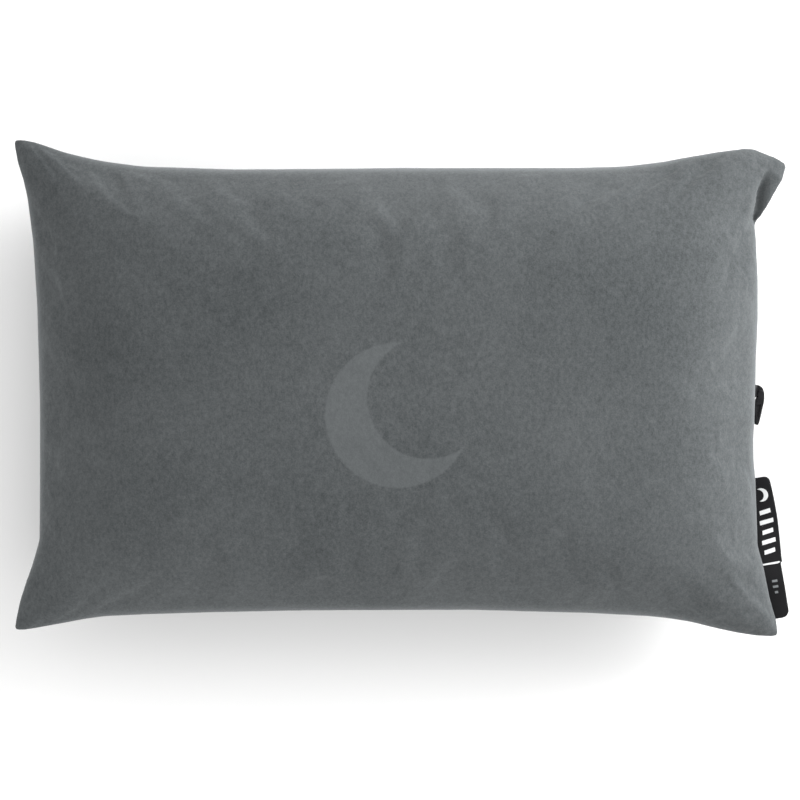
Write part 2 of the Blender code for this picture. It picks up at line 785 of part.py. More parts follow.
def build_cap():
    """A low cap with a plug rim, on a pin between the ears. Its parent empty is on the pin's axis."""
    hinge = hinge_place()
    plug_outer, plug_inner = BORE_RADIUS - 0.0004, BORE_RADIUS - 0.0014
    lid = turned(
        "valve_cap",
        [
            (0, CAP_TOP),
            (CAP_RADIUS - 0.0006, CAP_TOP),
            (CAP_RADIUS, CAP_TOP - 0.0006),
            (CAP_RADIUS, CAP_BOTTOM),
            (plug_outer, CAP_BOTTOM),
            (plug_outer, CAP_BOTTOM - PLUG_REACH),
            (plug_inner, CAP_BOTTOM - PLUG_REACH),
            (plug_inner, CAP_BOTTOM),
            (0, CAP_BOTTOM),
        ],
        "black_moulding",
        VALVE_PLACE,
        ring=False,
    )
    pivot = bpy.data.objects.new("valve_cap_pivot", None)
    PARTS.objects.link(pivot)
    pivot.matrix_world = hinge
    lid.parent = pivot
    lid.matrix_parent_inverse = hinge.inverted()
    knuckle = box_mesh(
        "cap_knuckle",
        (CAP_RADIUS - 0.0022, -KNUCKLE_HALF, HINGE_HEIGHT - HINGE_WALL),
        (HINGE_RADIUS + HINGE_WALL, KNUCKLE_HALF, HINGE_HEIGHT + HINGE_WALL),
        0.0002,
    )
    boolean(lid, add_cutter("cap_knuckle", knuckle, VALVE_PLACE), "UNION")
    lift = box_mesh(
        "cap_lift_tab",
        (-CAP_RADIUS - 0.0032, -0.003, CAP_BOTTOM + 0.0002),
        (-CAP_RADIUS + 0.0014, 0.003, CAP_TOP - 0.0003),
        0.0002,
    )
    boolean(lid, add_cutter("cap_lift_tab", lift, VALVE_PLACE), "UNION")
    bore = rod_mesh("cap_bore", HINGE_BORE, (0, -0.006, 0), (0, 0.006, 0))
    boolean(lid, add_cutter("cap_bore", bore, hinge), "DIFFERENCE")
    pin = rod_mesh("valve_hinge_pin", HINGE_BORE - GAP, (0, -0.0045, 0), (0, 0.0045, 0), 12)
    add("valve_hinge_pin", pin, "steel", hinge)


# ---------------------------------------------------------------- corner pocket, stuff sack and cord lock


def build_pocket():
    """A mesh liner inside the corner of the back panel, and what is stowed in it."""

    def surface(raised):
        def point(s, t):
            u = POCKET_LOW + POCKET_SPAN * (s + 1) / 2
            v = POCKET_LOW + POCKET_SPAN * (t + 1) / 2
            depth = POCKET_SAG * back_depth(u, v, COVER_WALL)
            return Vector((*outline(u, v), SEAM - depth + raised))

        return point

    skin("corner_pocket", surface(POCKET_WALL), surface(0), (6, 6), "pocket_mesh", even)
    build_sack()
    build_lock()


def build_sack():
    """The sack rolled into a flat packet across the corner."""
    bm = bmesh.new()
    bmesh.ops.create_cube(bm, size=1)
    bmesh.ops.scale(bm, vec=SACK_CAGE, verts=bm.verts)
    place = Matrix.Translation((*SACK_CENTRE, SEAM)) @ Matrix.Rotation(CORNER_TURN, 4, "Z")
    sack = add("stuff_sack", mesh_from("stuff_sack", bm), "sack_nylon", place)
    soften = sack.modifiers.new("Soften", "SUBSURF")
    soften.levels = soften.render_levels = 2


def build_lock():
    """A sprung cord lock. Its +Z is the plunger's axis and the cord crosses it along +X."""
    place = Matrix.Translation((*LOCK_CENTRE, SEAM)) @ Matrix.Rotation(CORNER_TURN + math.pi / 2, 4, "Z")
    place = place @ Matrix.Rotation(math.pi / 2, 4, "X")
    bottom, top = -LOCK_LENGTH / 2, LOCK_LENGTH / 2
    bore = LOCK_RADIUS - 0.0011
    barrel = turned(
        "cord_lock_barrel",
        [
            (bore, top),
            (LOCK_RADIUS, top),
            (LOCK_RADIUS, bottom),
            (0, bottom),
            (0, bottom + 0.0012),
            (bore, bottom + 0.0012),
        ],
        "black_moulding",
        place,
    )
    hole = rod_mesh("barrel_hole", CORD_RADIUS + 0.0005, (-0.01, 0, 0), (0.01, 0, 0), 12)
    boolean(barrel, add_cutter("barrel_hole", hole, place), "DIFFERENCE")
    plunger_radius = bore - 0.0003
    head = top + LOCK_TRAVEL + 0.0004
    plunger = turned(
        "cord_lock_plunger",
        [
            (0, head + 0.0016),
            (LOCK_RADIUS - 0.0012, head + 0.0016),
            (LOCK_RADIUS - 0.0004, head + 0.0008),
            (LOCK_RADIUS - 0.0004, head),
            (plunger_radius, head),
            (plunger_radius, -0.0024),
            (0, -0.0024),
        ],
        "black_moulding",
        place,
        ring=False,
    )
    half = CORD_RADIUS + GAP
    slot = box_mesh("plunger_slot", (-0.006, -half, -half), (0.006, half, half + LOCK_TRAVEL))
    boolean(plunger, add_cutter("plunger_slot", slot, place), "DIFFERENCE")
    coil = helix(0.0019, bottom + 0.0015, -0.0027, 1.5)
    wire("cord_lock_spring", coil, SPRING_WIRE, "steel", place)
    build_drawcord(place)


def build_drawcord(place):
    """From the packet, through the lock and to its knot."""
    step = 0.001
    along = [CORD_ENDS[0], 0, KNOT[0], KNOT[0] + step, KNOT[1] - step, KNOT[1], CORD_ENDS[1]]
    widths = [1, 1, 1, KNOT_SWELL, KNOT_SWELL, 1, 1]
    wire("sack_drawcord", [(x, 0, 0) for x in along], CORD_RADIUS, "black_webbing", place, widths)


clear_scene()
PARTS = new_collection("camp_pillow")
CUTTERS = new_collection("camp_pillow_cutters")
VALVE_PLACE = valve_frame()
PULL_AXIS = Vector((ZIP_X + TEETH_DEPTH / 2 + 0.0003 + PLATE + ARCH_REACH, ZIP_CLOSED_Y + 0.0026, SEAM))
build_cover()
build_fillings()
build_zip()
build_label()
build_valve()
build_pocket()
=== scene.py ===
"""Looks of the camp pillow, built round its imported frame: cover, zip, label, valve and fillings."""

import json
import math

import bmesh
import bpy
import numpy as np
from mathutils import Matrix, Vector


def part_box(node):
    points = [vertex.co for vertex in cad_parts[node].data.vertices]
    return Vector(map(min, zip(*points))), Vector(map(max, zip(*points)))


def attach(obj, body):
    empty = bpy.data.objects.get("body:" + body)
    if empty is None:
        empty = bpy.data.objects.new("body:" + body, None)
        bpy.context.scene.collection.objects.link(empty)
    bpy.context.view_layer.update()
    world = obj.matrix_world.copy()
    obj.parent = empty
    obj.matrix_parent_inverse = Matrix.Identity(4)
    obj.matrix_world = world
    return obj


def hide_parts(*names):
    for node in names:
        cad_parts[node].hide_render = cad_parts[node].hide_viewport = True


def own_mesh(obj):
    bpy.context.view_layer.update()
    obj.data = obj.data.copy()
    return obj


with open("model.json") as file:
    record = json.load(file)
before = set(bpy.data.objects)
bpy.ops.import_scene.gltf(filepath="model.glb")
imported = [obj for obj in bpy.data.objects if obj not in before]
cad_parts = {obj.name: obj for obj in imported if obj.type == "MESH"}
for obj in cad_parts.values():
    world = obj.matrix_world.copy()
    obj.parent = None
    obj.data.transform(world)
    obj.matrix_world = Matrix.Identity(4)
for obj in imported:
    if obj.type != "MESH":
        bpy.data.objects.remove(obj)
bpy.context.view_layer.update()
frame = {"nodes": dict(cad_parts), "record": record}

SCENE = bpy.context.scene

# ---------------------------- dimensions, in metres

SEAM = 0.048  # height of the seam between the two panels
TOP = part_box("cover_front_panel")[1].z
HALF_LENGTH, HALF_WIDTH = 0.2024, 0.1242  # the plain rectangle that the outline starts from
ROUND_X, ROUND_Y = 4.0, 3.0  # how squarely the panels swell: higher is flatter in the middle
FLOOR_SPREAD = 1.12  # how much further the back panel's flat resting patch reaches
LEFT_FLARE, RIGHT_FLARE = 2.0, 6.0  # how steeply each end's flare fades towards the middle

# How far each edge of the sewn outline stands out from the plain rectangle, in millimetres, along the
# edge from -1 to 1: the long edges flare towards the ends, and the short ones towards the corners
UPPER_EDGE = (
    (-1.0, 16.7), (-0.96, 15.4), (-0.935, 13.7), (-0.884, 9.4), (-0.834, 6.4), (-0.78, 3.8),
    (-0.68, 0.8), (-0.44, -0.9), (-0.2, -0.5), (0.0, -0.1), (0.5, 0.0), (0.62, 0.8), (0.72, 3.3),
    (0.777, 5.8), (0.83, 8.0), (0.88, 10.0), (0.933, 11.0), (0.985, 5.3), (1.0, 1.4),
)
LOWER_EDGE = (
    (-1.0, 12.2), (-0.96, 11.3), (-0.934, 10.1), (-0.882, 7.9), (-0.83, 5.6), (-0.778, 3.9), (-0.674, 2.8),
    (-0.52, 1.7), (-0.26, 0.5), (0.2, 0.2), (0.53, 2.0), (0.69, 3.8), (0.744, 5.1), (0.797, 7.0),
    (0.85, 10.1), (0.903, 13.0), (0.956, 15.2), (1.0, 15.6),
)
LEFT_EDGE = (
    (-1.0, 14.6), (-0.957, 13.6), (-0.883, 11.3), (-0.808, 7.9), (-0.734, 4.2), (-0.626, -0.1),
    (-0.378, -0.4), (-0.047, -0.4), (0.355, 1.3), (0.595, 3.6), (0.763, 6.8), (0.835, 9.1),
    (0.907, 12.5), (0.98, 14.6), (1.0, 14.6),
)
RIGHT_EDGE = (
    (-1.0, 11.6), (-0.941, 10.6), (-0.853, 6.8), (-0.711, 2.6), (-0.635, -0.6), (-0.53, -1.1), (-0.369, -1.9),
    (-0.289, -3.0), (-0.207, -3.1), (0.04, -2.2), (0.129, -2.0), (0.308, -0.9), (0.488, -0.9), (0.66, -2.0),
    (0.712, -2.5), (0.735, -2.2), (0.802, 4.0), (0.869, 8.8), (0.928, 13.4), (1.0, 16.5),
)

TIP = 0.018  # share of each half side that a corner's rounding takes

ZIP_LOW, ZIP_HIGH = (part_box("zip_tape_front")[k].y for k in (0, 1))
ZIP_MOUTH = 0.0049  # how far each panel's edge stands from the seam's middle at the zip
ZIP_RECESS = 0.0045  # how deep the zip lies behind the panels' edges
LABEL_LOW, LABEL_HIGH = (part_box("side_label")[k].y for k in (0, 1))
LABEL_MOUTH = 0.0012  # as ZIP_MOUTH, round the label
RIM = 0.0005  # as ZIP_MOUTH, along the plain seam
GROOVE = 0.0014  # depth of the plain seam's groove
# The turned-in edge, ring by ring: step in, share of the groove's depth, and how far apart the two edges
# still are as a share of the gap, along the plain seam and at the zip
LIP = ((0.00005, 0.0, 0.75, 0.95), (0.0, 0.3, 0.45, 0.93), (0.0, 1.0, 0.1, 0.90))
RECESS_RADIUS, RECESS_DEPTH = 0.0083, 0.026  # the opening for the valve

# The folded upper right corner, from the foot of its fold upwards: (y, x) of the body's crest and of
# the flap's outer edge
EAR_CREST = ((0.0920, 0.1998), (0.0986, 0.2000), (0.1053, 0.2011), (0.1125, 0.2020), (0.1228, 0.2061))
EAR_EDGE = ((0.0920, 0.2002), (0.1029, 0.2078), (0.1093, 0.2114), (0.1168, 0.2158), (0.1255, 0.2187))
EAR_LIFT, EAR_DEPTH, EAR_SAG = 0.0065, 0.0042, 0.0040
EAR_SHOULDER, EAR_UNDERCUT, EAR_BELLY = 0.0040, 0.0010, 0.0010

# The cover's simulation
GRID = (110, 74)
INFLATE_FRAMES = 20
GATHER, EASE = 0.024, 0.004  # spare fabric near the seam and in the middle
BROAD = 4.0  # cells that the broad swell is averaged over
# What each panel keeps: its broad swell in the middle and near the seam, its folds, and how far it may
# swell at the seam itself
FRONT_SHARES = ((0.12, 0.50), 0.65, 0.0010)
BACK_SHARES = ((0.25, 0.50), 1.10, 0.0)
DIP_LIMIT, SWELL_LIMIT = 0.0014, 0.0120  # how far the simulation may move a panel in and out
BULGE = 0.0009  # how far the front panel stands out over the seam

COIL_WIRE = 0.00025  # radius of the springs' wire
COIL_STEPS = 24  # points in one turn of a spring
SPRINGS = (("valve_spring", "valve_press", 3), ("cord_lock_spring", "cord_lock_press", 1.5))  # and turns

FOCUS = Vector((0.0006, -0.0064, SEAM))  # what the camera and the lights point at
CAMERA_HEIGHT = 2.0  # above the seam
VIEW_WIDTH = 0.452  # what the camera sees across, at the seam's height
SENSOR = 36.0
HORIZON, OVERHEAD = 1.28, 0.66  # strength of the room's light
KEY_PLACE, KEY_SIZE, KEY_POWER = (1.02, 0.51, 0.49), 0.8, 24.6
FILL_PLACE, FILL_SIZE, FILL_POWER = (-0.3, -1.2, 1.1), 1.2, 6.1


# ---------------------------- small helpers


def smoothstep(low, high, value):
    t = np.clip((value - low) / (high - low), 0, 1)
    return t * t * (3 - 2 * t)


def joint_of(name):
    return next(joint for joint in frame["record"]["behaviour"]["joints"] if joint["name"] == name)


def window(low, high, fade, value):
    return smoothstep(low - fade, low, value) * (1 - smoothstep(high, high + fade, value))


def new_object(name, mesh, body=None, material=None, replaces=()):
    obj = bpy.data.objects.new(name, mesh)
    SCENE.collection.objects.link(obj)
    if material:
        mesh.materials.append(material)
    if body:
        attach(obj, body)
    if replaces:
        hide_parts(*replaces)
    return obj


# ---------------------------- material helpers


class Nodes:
    """A small builder for one material's node tree."""

    def __init__(self, name, roughness=0.8, metallic=0.0):
        self.material = bpy.data.materials.new(name)
        self.material.use_nodes = True
        self.tree = self.material.node_tree
        self.shader = self.tree.nodes["Principled BSDF"]
        self.shader.inputs["Roughness"].default_value = roughness
        self.shader.inputs["Metallic"].default_value = metallic
        self.position = self.add("ShaderNodeTexCoord").outputs["Object"]

    def add(self, kind, **settings):
        node = self.tree.nodes.new(kind)
        for key, value in settings.items():
            setattr(node, key, value)
        return node

    def feed(self, socket, value):
        if hasattr(value, "is_output"):
            self.tree.links.new(value, socket)
        else:
            socket.default_value = value

    def math(self, operation, a, b=0.0):
        node = self.add("ShaderNodeMath", operation=operation)
        for socket, value in zip(node.inputs, (a, b)):
            self.feed(socket, value)
        return node.outputs[0]

    def stretch(self, scale):
        node = self.add("ShaderNodeMapping")
        self.feed(node.inputs["Vector"], self.position)
        node.inputs["Scale"].default_value = scale
        return node.outputs[0]

    def noise(self, scale, detail=2.0, roughness=0.5, vector=None, distortion=0.0):
        node = self.add("ShaderNodeTexNoise")
        self.feed(node.inputs["Vector"], vector or self.position)
        node.inputs["Scale"].default_value = scale
        node.inputs["Detail"].default_value = detail
        node.inputs["Roughness"].default_value = roughness
        node.inputs["Distortion"].default_value = distortion
        return node.outputs["Fac"]

    def remap(self, value, from_low, from_high, to_low=0.0, to_high=1.0, smooth=False):
        node = self.add("ShaderNodeMapRange", interpolation_type="SMOOTHSTEP" if smooth else "LINEAR")
        for socket, item in zip(node.inputs, (value, from_low, from_high, to_low, to_high)):
            self.feed(socket, item)
        return node.outputs[0]

    def mix(self, factor, a, b):
        node = self.add("ShaderNodeMix", data_type="RGBA")
        self.feed(node.inputs["Factor"], factor)
        self.feed(node.inputs[6], (*a, 1) if isinstance(a, tuple) else a)
        self.feed(node.inputs[7], (*b, 1) if isinstance(b, tuple) else b)
        return node.outputs[2]

    def split(self):
        node = self.add("ShaderNodeSeparateXYZ")
        self.feed(node.inputs[0], self.position)
        return node.outputs

    def bump(self, height, strength, distance):
        node = self.add("ShaderNodeBump")
        node.inputs["Strength"].default_value = strength
        node.inputs["Distance"].default_value = distance
        self.feed(node.inputs["Height"], height)
        previous = self.shader.inputs["Normal"].links
        if previous:
            self.feed(node.inputs["Normal"], previous[0].from_socket)
        self.feed(self.shader.inputs["Normal"], node.outputs[0])

    def set(self, **values):
        for key, value in values.items():
            self.feed(self.shader.inputs[key.replace("_", " ")], value)
        return self


def suede(name, dark, light, emblem=False):
    """Short brushed nap: soft clouds where the pile lies differently, fine speckle and a pale sheen."""
    n = Nodes(name, roughness=0.92)
    clouds = n.noise(9.0, 3.0, 0.55, n.stretch((1.0, 1.25, 1.0)))
    brushed = n.noise(150.0, 3.0, 0.6, n.stretch((1.0, 0.7, 1.0)), 0.3)
    tufts = n.noise(520.0, 2.0, 0.6, n.stretch((1.0, 0.7, 1.0)))
    fibre = n.noise(1150.0, 2.0, 0.65)
    tone = n.math("ADD", n.remap(clouds, 0.3, 0.7, 0.32, 0.68), n.remap(brushed, 0.3, 0.7, -0.10, 0.10))
    tone = n.math("ADD", tone, n.remap(tufts, 0.3, 0.7, -0.21, 0.21))
    tone = n.math("ADD", tone, n.remap(fibre, 0.3, 0.7, -0.22, 0.22))
    colour = n.mix(tone, dark, light)
    if emblem:
        colour = n.mix(emblem_mask(n), colour, tuple(min(1, c * 1.26) for c in light))
    n.set(Base_Color=colour)
    n.set(Roughness=n.remap(brushed, 0.2, 0.8, 0.86, 0.98))
    n.shader.inputs["Sheen Weight"].default_value = 0.34
    n.shader.inputs["Sheen Roughness"].default_value = 0.42
    n.shader.inputs["Sheen Tint"].default_value = (0.90, 0.94, 0.96, 1)
    n.shader.inputs["Specular IOR Level"].default_value = 0.18
    n.bump(brushed, 0.15, 0.0004)
    n.bump(tufts, 0.34, 0.00025)
    n.bump(fibre, 0.35, 0.00015)
    return n.material


EMBLEM_CENTRE = Vector((-0.0005, -0.0148))
EMBLEM_RADIUS, EMBLEM_BITE, EMBLEM_EDGE = 0.0400, 0.0335, 0.0007
EMBLEM_OFFSET = Vector((0.0165, 0.0095))  # from its outer circle's middle to its inner circle's
EMBLEM_STRENGTH = 0.42


def emblem_mask(n):
    """A crescent moon, pressed into the nap: 1 inside it, 0 outside."""
    parts = n.split()

    def disc(centre, radius):
        dx, dy = n.math("SUBTRACT", parts[0], centre.x), n.math("SUBTRACT", parts[1], centre.y)
        square = n.math("ADD", n.math("MULTIPLY", dx, dx), n.math("MULTIPLY", dy, dy))
        near, far = radius - EMBLEM_EDGE, radius + EMBLEM_EDGE
        return n.remap(n.math("SQRT", square), near, far, 1.0, 0.0, smooth=True)

    moon = disc(EMBLEM_CENTRE, EMBLEM_RADIUS)
    bite = disc(EMBLEM_CENTRE + EMBLEM_OFFSET, EMBLEM_BITE)
    inside = n.math("MULTIPLY", moon, n.math("SUBTRACT", 1.0, bite))
    above = n.remap(parts[2], 0.07, 0.08)  # only on the sleeping face
    return n.math("MULTIPLY", n.math("MULTIPLY", inside, above), EMBLEM_STRENGTH)


def woven(name, dark, light, scale, roughness, sheen=0.1):
    """Plain weave from two crossed sets of waves."""
    n = Nodes(name, roughness=roughness)
    parts = n.split()
    first = n.math("SINE", n.math("MULTIPLY", parts[0], scale * 2 * math.pi))
    second = n.math("SINE", n.math("MULTIPLY", parts[1], scale * 2 * math.pi))
    weave = n.remap(n.math("MULTIPLY", first, second), -1.0, 1.0)
    dirt = n.noise(60.0, 3.0)
    tone = n.math("ADD", n.math("MULTIPLY", weave, 0.6), n.math("MULTIPLY", dirt, 0.4))
    n.set(Base_Color=n.mix(tone, dark, light))
    n.set(Roughness=n.remap(dirt, 0.3, 0.7, roughness - 0.06, roughness + 0.06))
    n.shader.inputs["Sheen Weight"].default_value = sheen
    n.shader.inputs["Specular IOR Level"].default_value = 0.12
    n.bump(weave, 0.4, 0.00012)
    return n.material


def moulded(name, colour, roughness):
    """Moulded plastic with a faint spark-eroded grain and random lighter smears."""
    n = Nodes(name, roughness=roughness)
    grain = n.noise(2600.0, 2.0, 0.6)
    smear = n.noise(180.0, 3.0, 0.5)
    lighter = tuple(min(1, c * 1.6 + 0.006) for c in colour)
    n.set(Base_Color=n.mix(n.remap(smear, 0.35, 0.75), colour, lighter))
    n.set(Roughness=n.remap(smear, 0.3, 0.7, roughness - 0.08, roughness + 0.10))
    n.shader.inputs["Specular IOR Level"].default_value = 0.24
    n.bump(grain, 0.12, 0.00004)
    return n.material


def metal(name):
    """Dull steel with fine scratches."""
    n = Nodes(name, roughness=0.3, metallic=1.0)
    scratch = n.noise(700.0, 3.0, 0.6, n.stretch((1.0, 0.1, 1.0)))
    n.set(Base_Color=n.mix(n.remap(scratch, 0.3, 0.7), (0.15, 0.15, 0.155), (0.24, 0.24, 0.25)))
    n.set(Roughness=n.remap(scratch, 0.3, 0.7, 0.32, 0.52))
    n.bump(scratch, 0.1, 0.00003)
    return n.material


def foam_material():
    """Pale open-cell foam."""
    n = Nodes("foam", roughness=0.95)
    cells = n.add("ShaderNodeTexVoronoi")
    n.feed(cells.inputs["Vector"], n.position)
    cells.inputs["Scale"].default_value = 900.0
    distance = cells.outputs["Distance"]
    n.set(Base_Color=n.mix(n.remap(distance, 0.0, 0.6), (0.42, 0.40, 0.33), (0.68, 0.66, 0.58)))
    n.bump(distance, 0.6, 0.0003)
    return n.material


# ---------------------------- cover


def edge_curve(table, t, softness=0.012):
    """The table's values at t, in metres, with its corners rounded off."""
    fine = np.linspace(-1.1, 1.1, 1101)
    values = np.interp(fine, *np.array(table).T)
    reach = 3 * softness
    weights = np.exp(-0.5 * (np.arange(-reach, reach + 1e-9, 0.002) / softness) ** 2)
    half = len(weights) // 2
    padded = np.pad(values, half, mode="edge")
    values = np.convolve(padded, weights / weights.sum(), mode="valid")
    return 0.001 * np.interp(t, fine, values)


def rounded_corner(u, v):
    """Turns the four corners of the square in a small arc."""
    p, q = (np.clip((np.abs(t) - (1 - TIP)) / TIP, 0, 1) for t in (u, v))
    inner_u, inner_v = (np.minimum(np.abs(t), 1 - TIP) for t in (u, v))
    both = (p > 0) & (q > 0)
    new_u = np.where(both, inner_u + TIP * p * np.sqrt(1 - q * q / 2), np.abs(u))
    new_v = np.where(both, inner_v + TIP * q * np.sqrt(1 - p * p / 2), np.abs(v))
    return np.sign(u) * new_u, np.sign(v) * new_v


def outline(u, v):
    """Where (u, v) of the plain square lies in plan, within the sewn outline."""
    u, v = rounded_corner(u, v)
    side = np.where(u > 0, edge_curve(RIGHT_EDGE, v, 0.008), edge_curve(LEFT_EDGE, v))
    flare = np.where(u > 0, RIGHT_FLARE, LEFT_FLARE)
    x = u * HALF_LENGTH + np.sign(u) * side * np.abs(u) ** flare
    long_edge = np.where(v > 0, edge_curve(UPPER_EDGE, u), edge_curve(LOWER_EDGE, u))
    y = v * (HALF_WIDTH + long_edge)
    return x, y


def fullness(u, v):
    """How far a panel stands off the seam there, as a share of the most."""
    return np.sqrt(np.clip(1 - np.abs(u) ** ROUND_X, 0, 1) * np.clip(1 - np.abs(v) ** ROUND_Y, 0, 1))


def zip_share(y):
    return window(ZIP_LOW - 0.002, ZIP_HIGH + 0.002, 0.008, y)


def mouth(u, y):
    """How far each panel's edge stands from the seam line: open at the zip and round the label."""
    label_part = (LABEL_MOUTH - RIM) * window(LABEL_LOW - 0.006, LABEL_HIGH + 0.010, 0.006, y)
    return smoothstep(0.9, 1.0, u) * ((ZIP_MOUTH - RIM) * zip_share(y) + label_part)


def front_surface(u, v):
    x, y = outline(u, v)
    low = RIM + mouth(u, y)
    return np.stack([x, y, SEAM + low + (TOP - SEAM - low) * fullness(u, v)], axis=-1)


def back_surface(u, v):
    x, y = outline(u, v)
    low = RIM + mouth(u, y)
    return np.stack([x, y, SEAM - low - (SEAM - low) * np.minimum(1, FLOOR_SPREAD * fullness(u, v))], axis=-1)


def spacing(t):
    """Lines crowd towards the seam, where the panels stand upright."""
    return 0.06 * t + 0.94 * np.sin(math.pi / 2 * t)


def grid(cells):
    lines = [spacing(np.linspace(-1, 1, n + 1)) for n in cells]
    return np.meshgrid(*lines, indexing="ij")


def quads_of(rows, columns, first=0):
    index = first + np.arange(rows * columns).reshape(rows, columns)
    corners = [index[:-1, :-1], index[1:, :-1], index[1:, 1:], index[:-1, 1:]]
    return np.stack(corners, axis=-1).reshape(-1, 4)


def edge_distance(u, v):
    """Roughly how far in from the seam."""
    return np.minimum(1 - np.abs(u), (1 - np.abs(v)) * HALF_WIDTH / HALF_LENGTH) * HALF_LENGTH


def inflate(front, back, nearness):
    """Both panels' fabric, sewn down along its edge and blown up by pressure: where each point ends."""
    shape = front.shape[:2]
    count = shape[0] * shape[1]
    rng = np.random.default_rng(4)
    points = np.concatenate([front.reshape(-1, 3), back.reshape(-1, 3)])
    points = points + rng.normal(0, 0.0001, points.shape)
    faces = np.concatenate([quads_of(*shape), quads_of(*shape, first=count)[:, ::-1]])
    mesh = bpy.data.meshes.new("inflating")
    mesh.from_pydata(points.tolist(), [], faces.tolist())
    fabric = new_object("inflating", mesh)
    centre, sewn = fabric.vertex_groups.new(name="centre"), fabric.vertex_groups.new(name="sewn")
    edge = np.ones(shape, bool)
    edge[1:-1, 1:-1] = False
    for index, (near, held) in enumerate(zip(np.tile(nearness.ravel(), 2), np.tile(edge.ravel(), 2))):
        centre.add([index], float(1 - near), "REPLACE")
        if held:
            sewn.add([index], 1.0, "REPLACE")

    ground_mesh = bpy.data.meshes.new("ground")
    corners = [(-0.4, -0.4, -0.001), (0.4, -0.4, -0.001), (0.4, 0.4, -0.001), (-0.4, 0.4, -0.001)]
    ground_mesh.from_pydata(corners, [], [(0, 1, 2, 3)])
    ground = new_object("ground", ground_mesh)
    ground.modifiers.new("collision", "COLLISION")
    ground.collision.thickness_outer = 0.001

    cloth = fabric.modifiers.new("cloth", "CLOTH")
    cloth.settings.quality = 6
    cloth.settings.mass = 0.0003
    cloth.settings.tension_stiffness = cloth.settings.compression_stiffness = 25
    cloth.settings.shear_stiffness = 6
    cloth.settings.bending_stiffness = 0.3
    cloth.settings.air_damping = 2
    cloth.settings.vertex_group_mass = "sewn"
    cloth.settings.pin_stiffness = 1
    cloth.settings.vertex_group_shrink = "centre"
    cloth.settings.shrink_min, cloth.settings.shrink_max = -GATHER, -EASE
    cloth.settings.use_pressure = True
    cloth.settings.uniform_pressure_force = 4
    cloth.settings.effector_weights.gravity = 0
    cloth.collision_settings.distance_min = 0.001
    cloth.collision_settings.use_self_collision = False
    cloth.point_cache.frame_start, cloth.point_cache.frame_end = 1, INFLATE_FRAMES
    for number in range(1, INFLATE_FRAMES + 1):
        SCENE.frame_set(number)
    settled = fabric.evaluated_get(bpy.context.evaluated_depsgraph_get())
    places = np.empty(2 * count * 3)
    settled.data.vertices.foreach_get("co", places)
    places = places.reshape(2, *shape, 3)
    for scratch in (fabric, ground):
        bpy.data.objects.remove(scratch)
    SCENE.frame_set(1)
    return places


def blurred(field, sigma):
    """A Gaussian average over a grid whose rim stays where it is."""
    reach = int(3 * sigma)
    weights = np.exp(-0.5 * (np.arange(-reach, reach + 1) / sigma) ** 2)
    weights /= weights.sum()
    for axis in (0, 1):
        padding = [(0, 0)] * field.ndim
        padding[axis] = (reach, reach)
        wide = np.pad(field, padding, mode="reflect", reflect_type="odd")
        length = field.shape[axis]
        field = sum(w * np.take(wide, range(k, k + length), axis) for k, w in enumerate(weights))
    return field


def doubled(field):
    """The field on a grid with twice the cells, through four-point interpolation."""
    for axis in (0, 1):
        field = np.moveaxis(field, axis, 0)
        wide = np.pad(field, [(1, 1)] + [(0, 0)] * (field.ndim - 1), mode="reflect", reflect_type="odd")
        middle = (9 * (wide[1:-2] + wide[2:-1]) - wide[:-3] - wide[3:]) / 16
        finer = np.empty((2 * len(field) - 1, *field.shape[1:]))
        finer[::2], finer[1::2] = field, middle
        field = np.moveaxis(finer, 0, axis)
    return field


def normals_of(surface):
    normal = np.cross(np.gradient(surface, axis=0), np.gradient(surface, axis=1))
    return normal / np.maximum(np.linalg.norm(normal, axis=-1, keepdims=True), 1e-12)


def puffed(surface, moved, outward, swells, detail, edge_swell, inset):
    """The plain surface plus the simulated one's broad swell and folds, neither too far in nor out."""
    broad = blurred(moved, BROAD)
    swell = swells[0] + (swells[1] - swells[0]) * (1 - smoothstep(0.02, 0.09, inset))[..., None]
    shift = swell * doubled(broad) + detail * doubled(moved - broad)
    normal = outward * normals_of(surface)
    rise = np.sum(shift * normal, axis=-1, keepdims=True)
    most = np.minimum(SWELL_LIMIT, edge_swell + 0.3 * inset)[..., None]
    least = -DIP_LIMIT * smoothstep(0.0005, 0.008, inset)[..., None]
    over_seam = smoothstep(0, 0.0008, inset) * (1 - smoothstep(0.003, 0.012, inset))
    limited = np.clip(rise, least, most)
    if outward == 1:
        limited += BULGE * over_seam[..., None]
    return surface + shift + (limited - rise) * normal


